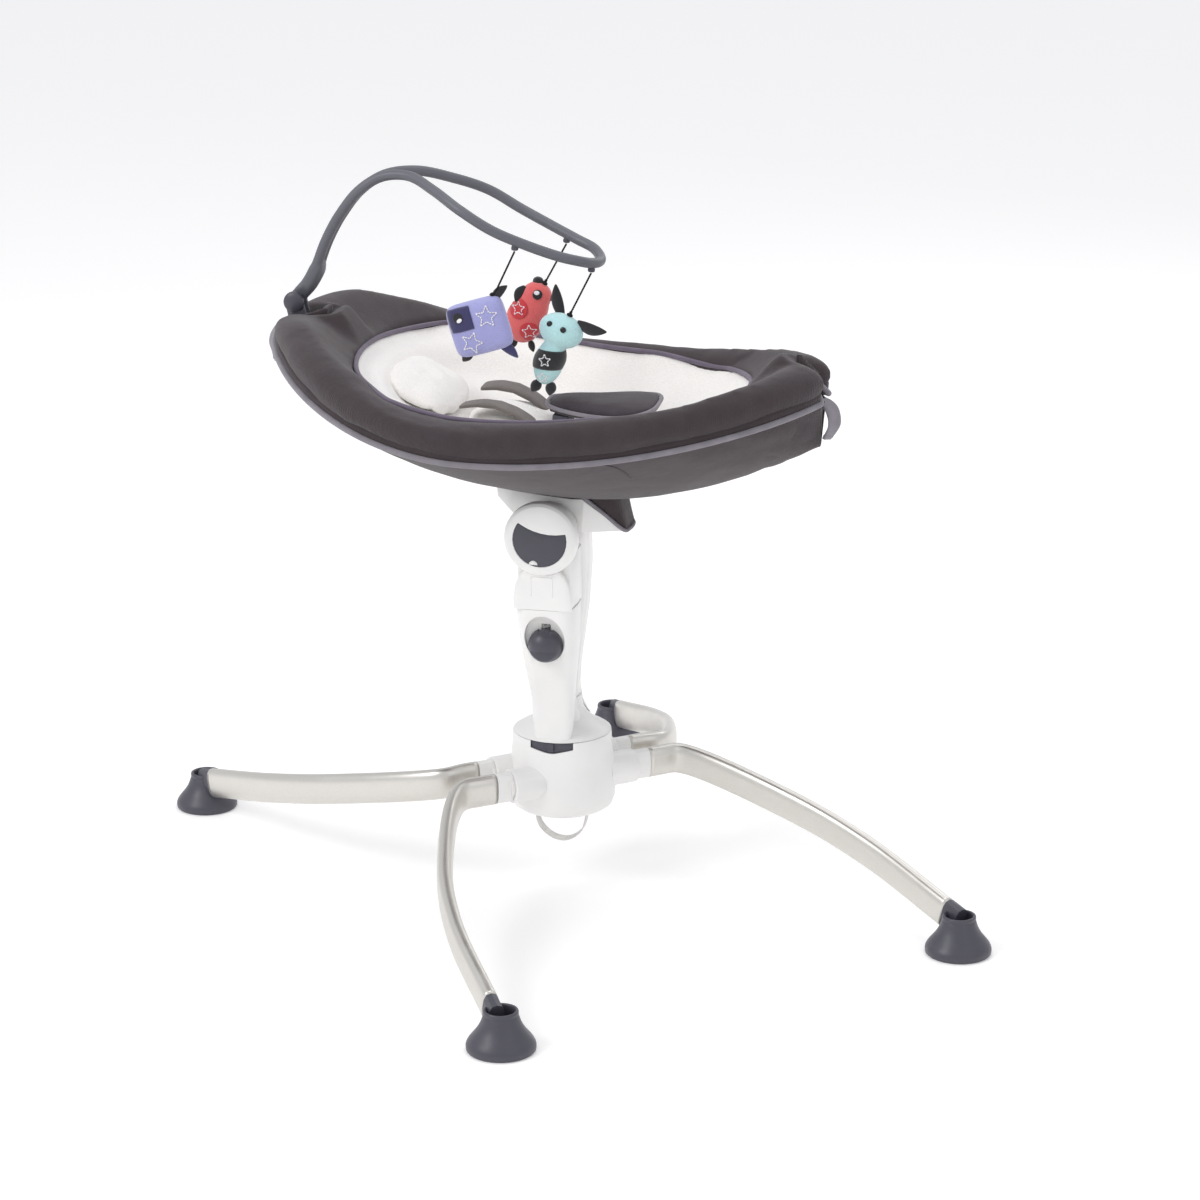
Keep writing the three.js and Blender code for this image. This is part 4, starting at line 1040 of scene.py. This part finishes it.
# ---------------------------------------------------------------- toys
def blob(name, balls):
    """Overlapping ellipsoids, each a centre, radii and a tilt in degrees, all in the seat's frame."""
    bm = bmesh.new()
    for centre, radii, turn in balls:
        made = bmesh.ops.create_uvsphere(bm, u_segments=32, v_segments=20, radius=1)["verts"]
        c, s = math.cos(math.radians(turn)), math.sin(math.radians(turn))
        for vert in made:
            x, y, z = vert.co.x * radii[0], vert.co.y * radii[1], vert.co.z * radii[2]
            vert.co = seat_point(centre[0] + x * c + z * s, centre[1] + y, centre[2] - x * s + z * c)
    return add_object(name, bm)


def onto(tree, x, z, lift):
    """The place on the front of a toy at the seat frame's x and z, lifted off it by lift mm."""
    start = seat_point(x, -300, z)
    hit, normal, _, _ = tree.ray_cast(start, Vector((0, 1, 0)))
    if hit is None:
        near, normal, _, _ = tree.find_nearest(seat_point(x, -90, z))
        hit = near
    return hit + normal * lift * MM


def patch(name, toy, tree, outline, material, lift=0.5, rings=8):
    """A felt patch sewn on a toy's front: rings of points laid on the surface, then thickened."""
    outline = [tuple(p) for p in spaced([Vector(p) for p in [*outline, outline[0]]], 48, closed=True)]
    centre = sum((Vector(p) for p in outline), Vector((0, 0))) / len(outline)
    rows = []
    for ring in range(rings, 0, -1):
        points = [centre.lerp(Vector(p), ring / rings) for p in outline]
        rows.append([onto(tree, p.x, p.y, lift) for p in points])
    bm = bmesh.new()
    skin(bm, rows, caps=False)
    bm.verts.ensure_lookup_table()
    inner = [bm.verts[len(bm.verts) - len(outline) + i] for i in range(len(outline))]
    middle = bm.verts.new(onto(tree, centre.x, centre.y, lift))
    for i in range(len(inner)):
        bm.faces.new((inner[i], inner[(i + 1) % len(inner)], middle))
    obj = add_object(name, bm)
    solid = obj.modifiers.new("thickness", "SOLIDIFY")
    solid.thickness = 0.0009
    solid.offset = 0
    apply_modifiers(obj)
    return finish_piece(obj, toy, material=material)


def circle(x, z, radius, wide=1.0, count=28, turn=0.0):
    c, s = math.cos(math.radians(turn)), math.sin(math.radians(turn))
    points = [(radius * wide * math.cos(a), radius * math.sin(a)) for a in full_turn(count)]
    return [(x + u * c - v * s, z + u * s + v * c) for u, v in points]


def star(x, z, radius, turn=0.0):
    points = []
    for k in range(10):
        reach = radius if k % 2 == 0 else radius * 0.45
        angle = math.radians(90 + turn + 36 * k)
        points.append((x + reach * math.cos(angle), z + reach * math.sin(angle)))
    return points


def stitched(name, toy, tree, outline, material, per_side=3, radius=0.0008):
    """A running stitch along a closed outline, as short bars of thread lying on the toy."""
    bm = bmesh.new()
    for a, b in zip(outline, outline[1:] + outline[:1]):
        for k in range(per_side):
            ends = [Vector(a).lerp(Vector(b), (k + share) / per_side) for share in (0.12, 0.5, 0.88)]
            path = [onto(tree, p.x, p.y, 0.5) for p in ends]
            skin(bm, sweep_rows(path, round_section(radius), 6))
    return finish_piece(add_object(name, bm), toy, material=material)


def leaf(name, toy, base, tip, width, material, bow=4.0, thickness=2.4):
    """A flat stuffed ear, tail or foot from base to tip, bowed along its length."""
    base, tip = Vector(base), Vector(tip)
    rows = []
    axis = (tip - base).normalized()
    side = axis.cross(Vector((0, 1, 0))).normalized()
    for i in range(23):
        t = i / 22
        centre = base.lerp(tip, t) + side * bow * math.sin(math.pi * t) * 0.5
        half = width * (math.sin(math.pi * (0.12 + 0.86 * t)) ** 0.75) / 2
        deep = thickness * (0.35 + 0.65 * math.sin(math.pi * (0.08 + 0.88 * t)))
        row = []
        for angle in full_turn(20):
            across = side * half * rounded(math.cos(angle), 0.8)
            row.append(seat_point(*(centre + across + Vector((0, deep * math.sin(angle), 0)))))
        rows.append(row)
    return finish_piece(loft(name, rows), toy, material=material)


def bead(name, toy, tree, x, z, radius):
    """A domed eye."""
    middle = onto(tree, x, z, 0.2)
    profile = [(radius, -0.6), (radius, 0.3), (radius * 0.86, 1), (radius * 0.55, 1.6), (radius * 0.2, 1.9)]
    obj = lathe(name, profile, lambda u, v, h: middle + Vector((u, -h, v)) * MM, 24)
    return finish_piece(obj, toy, material=GLASS_EYE)


def toy_body(key, obj, slot, cap=0.0015):
    inflate(obj, 0.0025, cap)
    finish_piece(obj, f"toy_{key}", slot, replaces=[f"toy_{key}"])
    tree = tree_of(obj)
    start = cord_start(TOYS[key])
    near, normal, _, _ = tree.find_nearest(start)
    loop = [near - normal * 0.002, near.lerp(start, 0.5), start + Vector((0, 0, 0.0006))]
    finish_piece(tube(f"{key}_hang_loop", smooth_path(loop, 12), 0.0019, 12), f"toy_{key}", "black_cord")
    knot = [near - normal * 0.001 + normal * step * 0.0012 for step in range(5)]

    def ball(share, angle):
        return round_section(0.0042 * math.sin(math.pi * lerp(0.12, 0.88, share)))(share, angle)

    rows = sweep_rows(smooth_path(knot, 12), ball, 16)
    finish_piece(loft(f"{key}_knot", rows), f"toy_{key}", "black_cord")
    return tree


def make_square_toy():
    x, y, z = TOYS["square"]["body"]
    turn = math.radians(-22)

    def tilted(a, b):
        return x + a * math.cos(turn) + b * math.sin(turn), z - a * math.sin(turn) + b * math.cos(turn)

    rows = []
    for i in range(17):
        depth = math.cos(math.pi * i / 16)
        row = []
        for angle in full_turn(64):
            edge = 0.7 + 0.3 * math.sqrt(max(0, 1 - depth ** 2))
            a, b = 38 * edge * rounded(math.cos(angle), 0.3), 34 * edge * rounded(math.sin(angle), 0.3)
            px, pz = tilted(a, b)
            row.append(seat_point(px, y + depth * 11, pz))
        rows.append(row)
    tree = toy_body("square", loft("square_plush", rows), "lavender_plush", 0.002)
    toy = "toy_square"
    outline = ((-33, 29.5), (-18, 30), (-3, 29.5), (-2.5, 15), (-3, 1), (-18, 0.5), (-33, 1), (-34, 15))
    patch("square_corner", toy, tree, [tilted(a, b) for a, b in outline], NAVY)
    eye = tilted(-20, 18)
    patch("square_eye", toy, tree, circle(*eye, 6.4), BLACK, 1.1)
    patch("square_glint", toy, tree, circle(eye[0] + 2.4, eye[1] - 2.6, 2.4, 1.5, turn=40), IVORY, 1.7, 3)
    stitched("square_star_high", toy, tree, star(*tilted(16, 11), 14, 10), IVORY)
    stitched("square_star_low", toy, tree, star(*tilted(-12, -16), 14, -8), IVORY)
    leaf("square_tail", toy, (x + 26, y, z - 18), (x + 52, y - 2, z - 32), 13, NAVY)
    leaf("square_ear", toy, (x + 14, y, z + 34), (x + 30, y + 3, z + 55), 12, BLACK)
    leaf("square_foot", toy, (x - 8, y, z - 32), (x - 18, y, z - 47), 13, BLACK, 0)


def make_dog_toy():
    x, y, z = TOYS["dog"]["body"]
    body = blob("dog_plush", [
        ((x - 5, y, z - 10), (25, 16, 31), 12),
        ((x + 3, y, z + 8), (22, 16, 28), 6),
        ((x + 8, y, z + 23), (20, 15, 18), 0),
    ])
    tree = toy_body("dog", body, "coral_plush")
    toy = "toy_dog"
    for name, u, v, radius in (("high", -11, 6, 13), ("low", 5, -22, 12.5)):
        patch(f"dog_patch_{name}", toy, tree, circle(x + u, z + v, radius), RED)
        stitched(f"dog_star_{name}", toy, tree, star(x + u, z + v, 9.5, 6), IVORY, 2)
    patch("dog_eye_patch", toy, tree, circle(x + 12, z + 27, 6), BLACK)
    patch("dog_glint", toy, tree, circle(x + 11, z + 29.2, 2.4, 1.4), IVORY, 1.2, 3)
    finish_piece(blob("dog_topknot", [((x + 8, y + 2, z + 41), (7, 6, 6), 0)]), toy, material=BLACK)
    leaf("dog_ear", toy, (x - 6, y - 6, z + 34), (x - 16, y - 12, z + 14), 12, BLACK, -5)
    leaf("dog_nose", toy, (x + 24, y, z + 24), (x + 31, y, z + 20), 8, BLACK, 0, 3.4)
    leaf("dog_foot_front", toy, (x + 4, y, z - 36), (x + 10, y - 2, z - 50), 9, BLACK, 0)
    leaf("dog_foot_back", toy, (x - 14, y, z - 36), (x - 20, y - 2, z - 50), 9, BLACK, 0)


def make_rabbit_toy():
    x, y, z = TOYS["rabbit"]["body"]
    body = blob("rabbit_plush", [
        ((x - 4, y, z - 18), (19, 16, 31), 12),
        ((x + 8, y, z + 23), (29, 18, 22), 14),
    ])
    tree = toy_body("rabbit", body, "aqua_plush")
    toy = "toy_rabbit"
    rows = []
    for i in range(11):
        t = i / 10
        ring = lerp(-2, -26, t)
        swell = math.sqrt(max(0.05, 1 - ((ring + 18) / 33) ** 2)) + 0.07 * math.sin(math.pi * t) + 0.02
        cx = x - 4 - (ring + 18) * -0.2
        row = []
        for angle in full_turn(48):
            aside, out = 19 * swell * math.cos(angle), 16.4 * swell * math.sin(angle)
            row.append(seat_point(cx + aside, y + out, z + ring))
        rows.append(row)
    band = finish_piece(loft("rabbit_band", rows), toy, material=BLACK)
    stitched("rabbit_star", toy, tree_of(band), star(x - 6, z - 14, 8, 8), IVORY, 2)
    stitched("rabbit_star_low", toy, tree, star(x - 8, z - 37, 7, 8), IVORY, 2)
    bead("rabbit_eye_left", toy, tree, x - 4, z + 33, 3.8)
    bead("rabbit_eye_right", toy, tree, x + 14, z + 28, 3.8)
    leaf("rabbit_ear_up", toy, (x + 6, y + 8, z + 38), (x - 6, y + 10, z + 78), 15, BLACK, 4)
    leaf("rabbit_ear_side", toy, (x + 28, y - 1, z + 36), (x + 66, y - 2, z + 29), 15, BLACK, -6)
    leaf("rabbit_foot_left", toy, (x - 14, y - 2, z - 44), (x - 22, y - 5, z - 58), 14, BLACK, 0, 5)
    leaf("rabbit_foot_right", toy, (x + 2, y - 2, z - 44), (x + 1, y - 5, z - 60), 14, BLACK, 0, 5)


make_stage()
make_cords()
make_legs()
make_arch()
make_hull()
make_border()
make_liner()
make_pads()
make_tabs()
make_skirt()
make_pull_strap()
make_mouldings()
make_square_toy()
make_dog_toy()
make_rabbit_toy()
dress_cad_nodes()

bpy.context.view_layer.update()
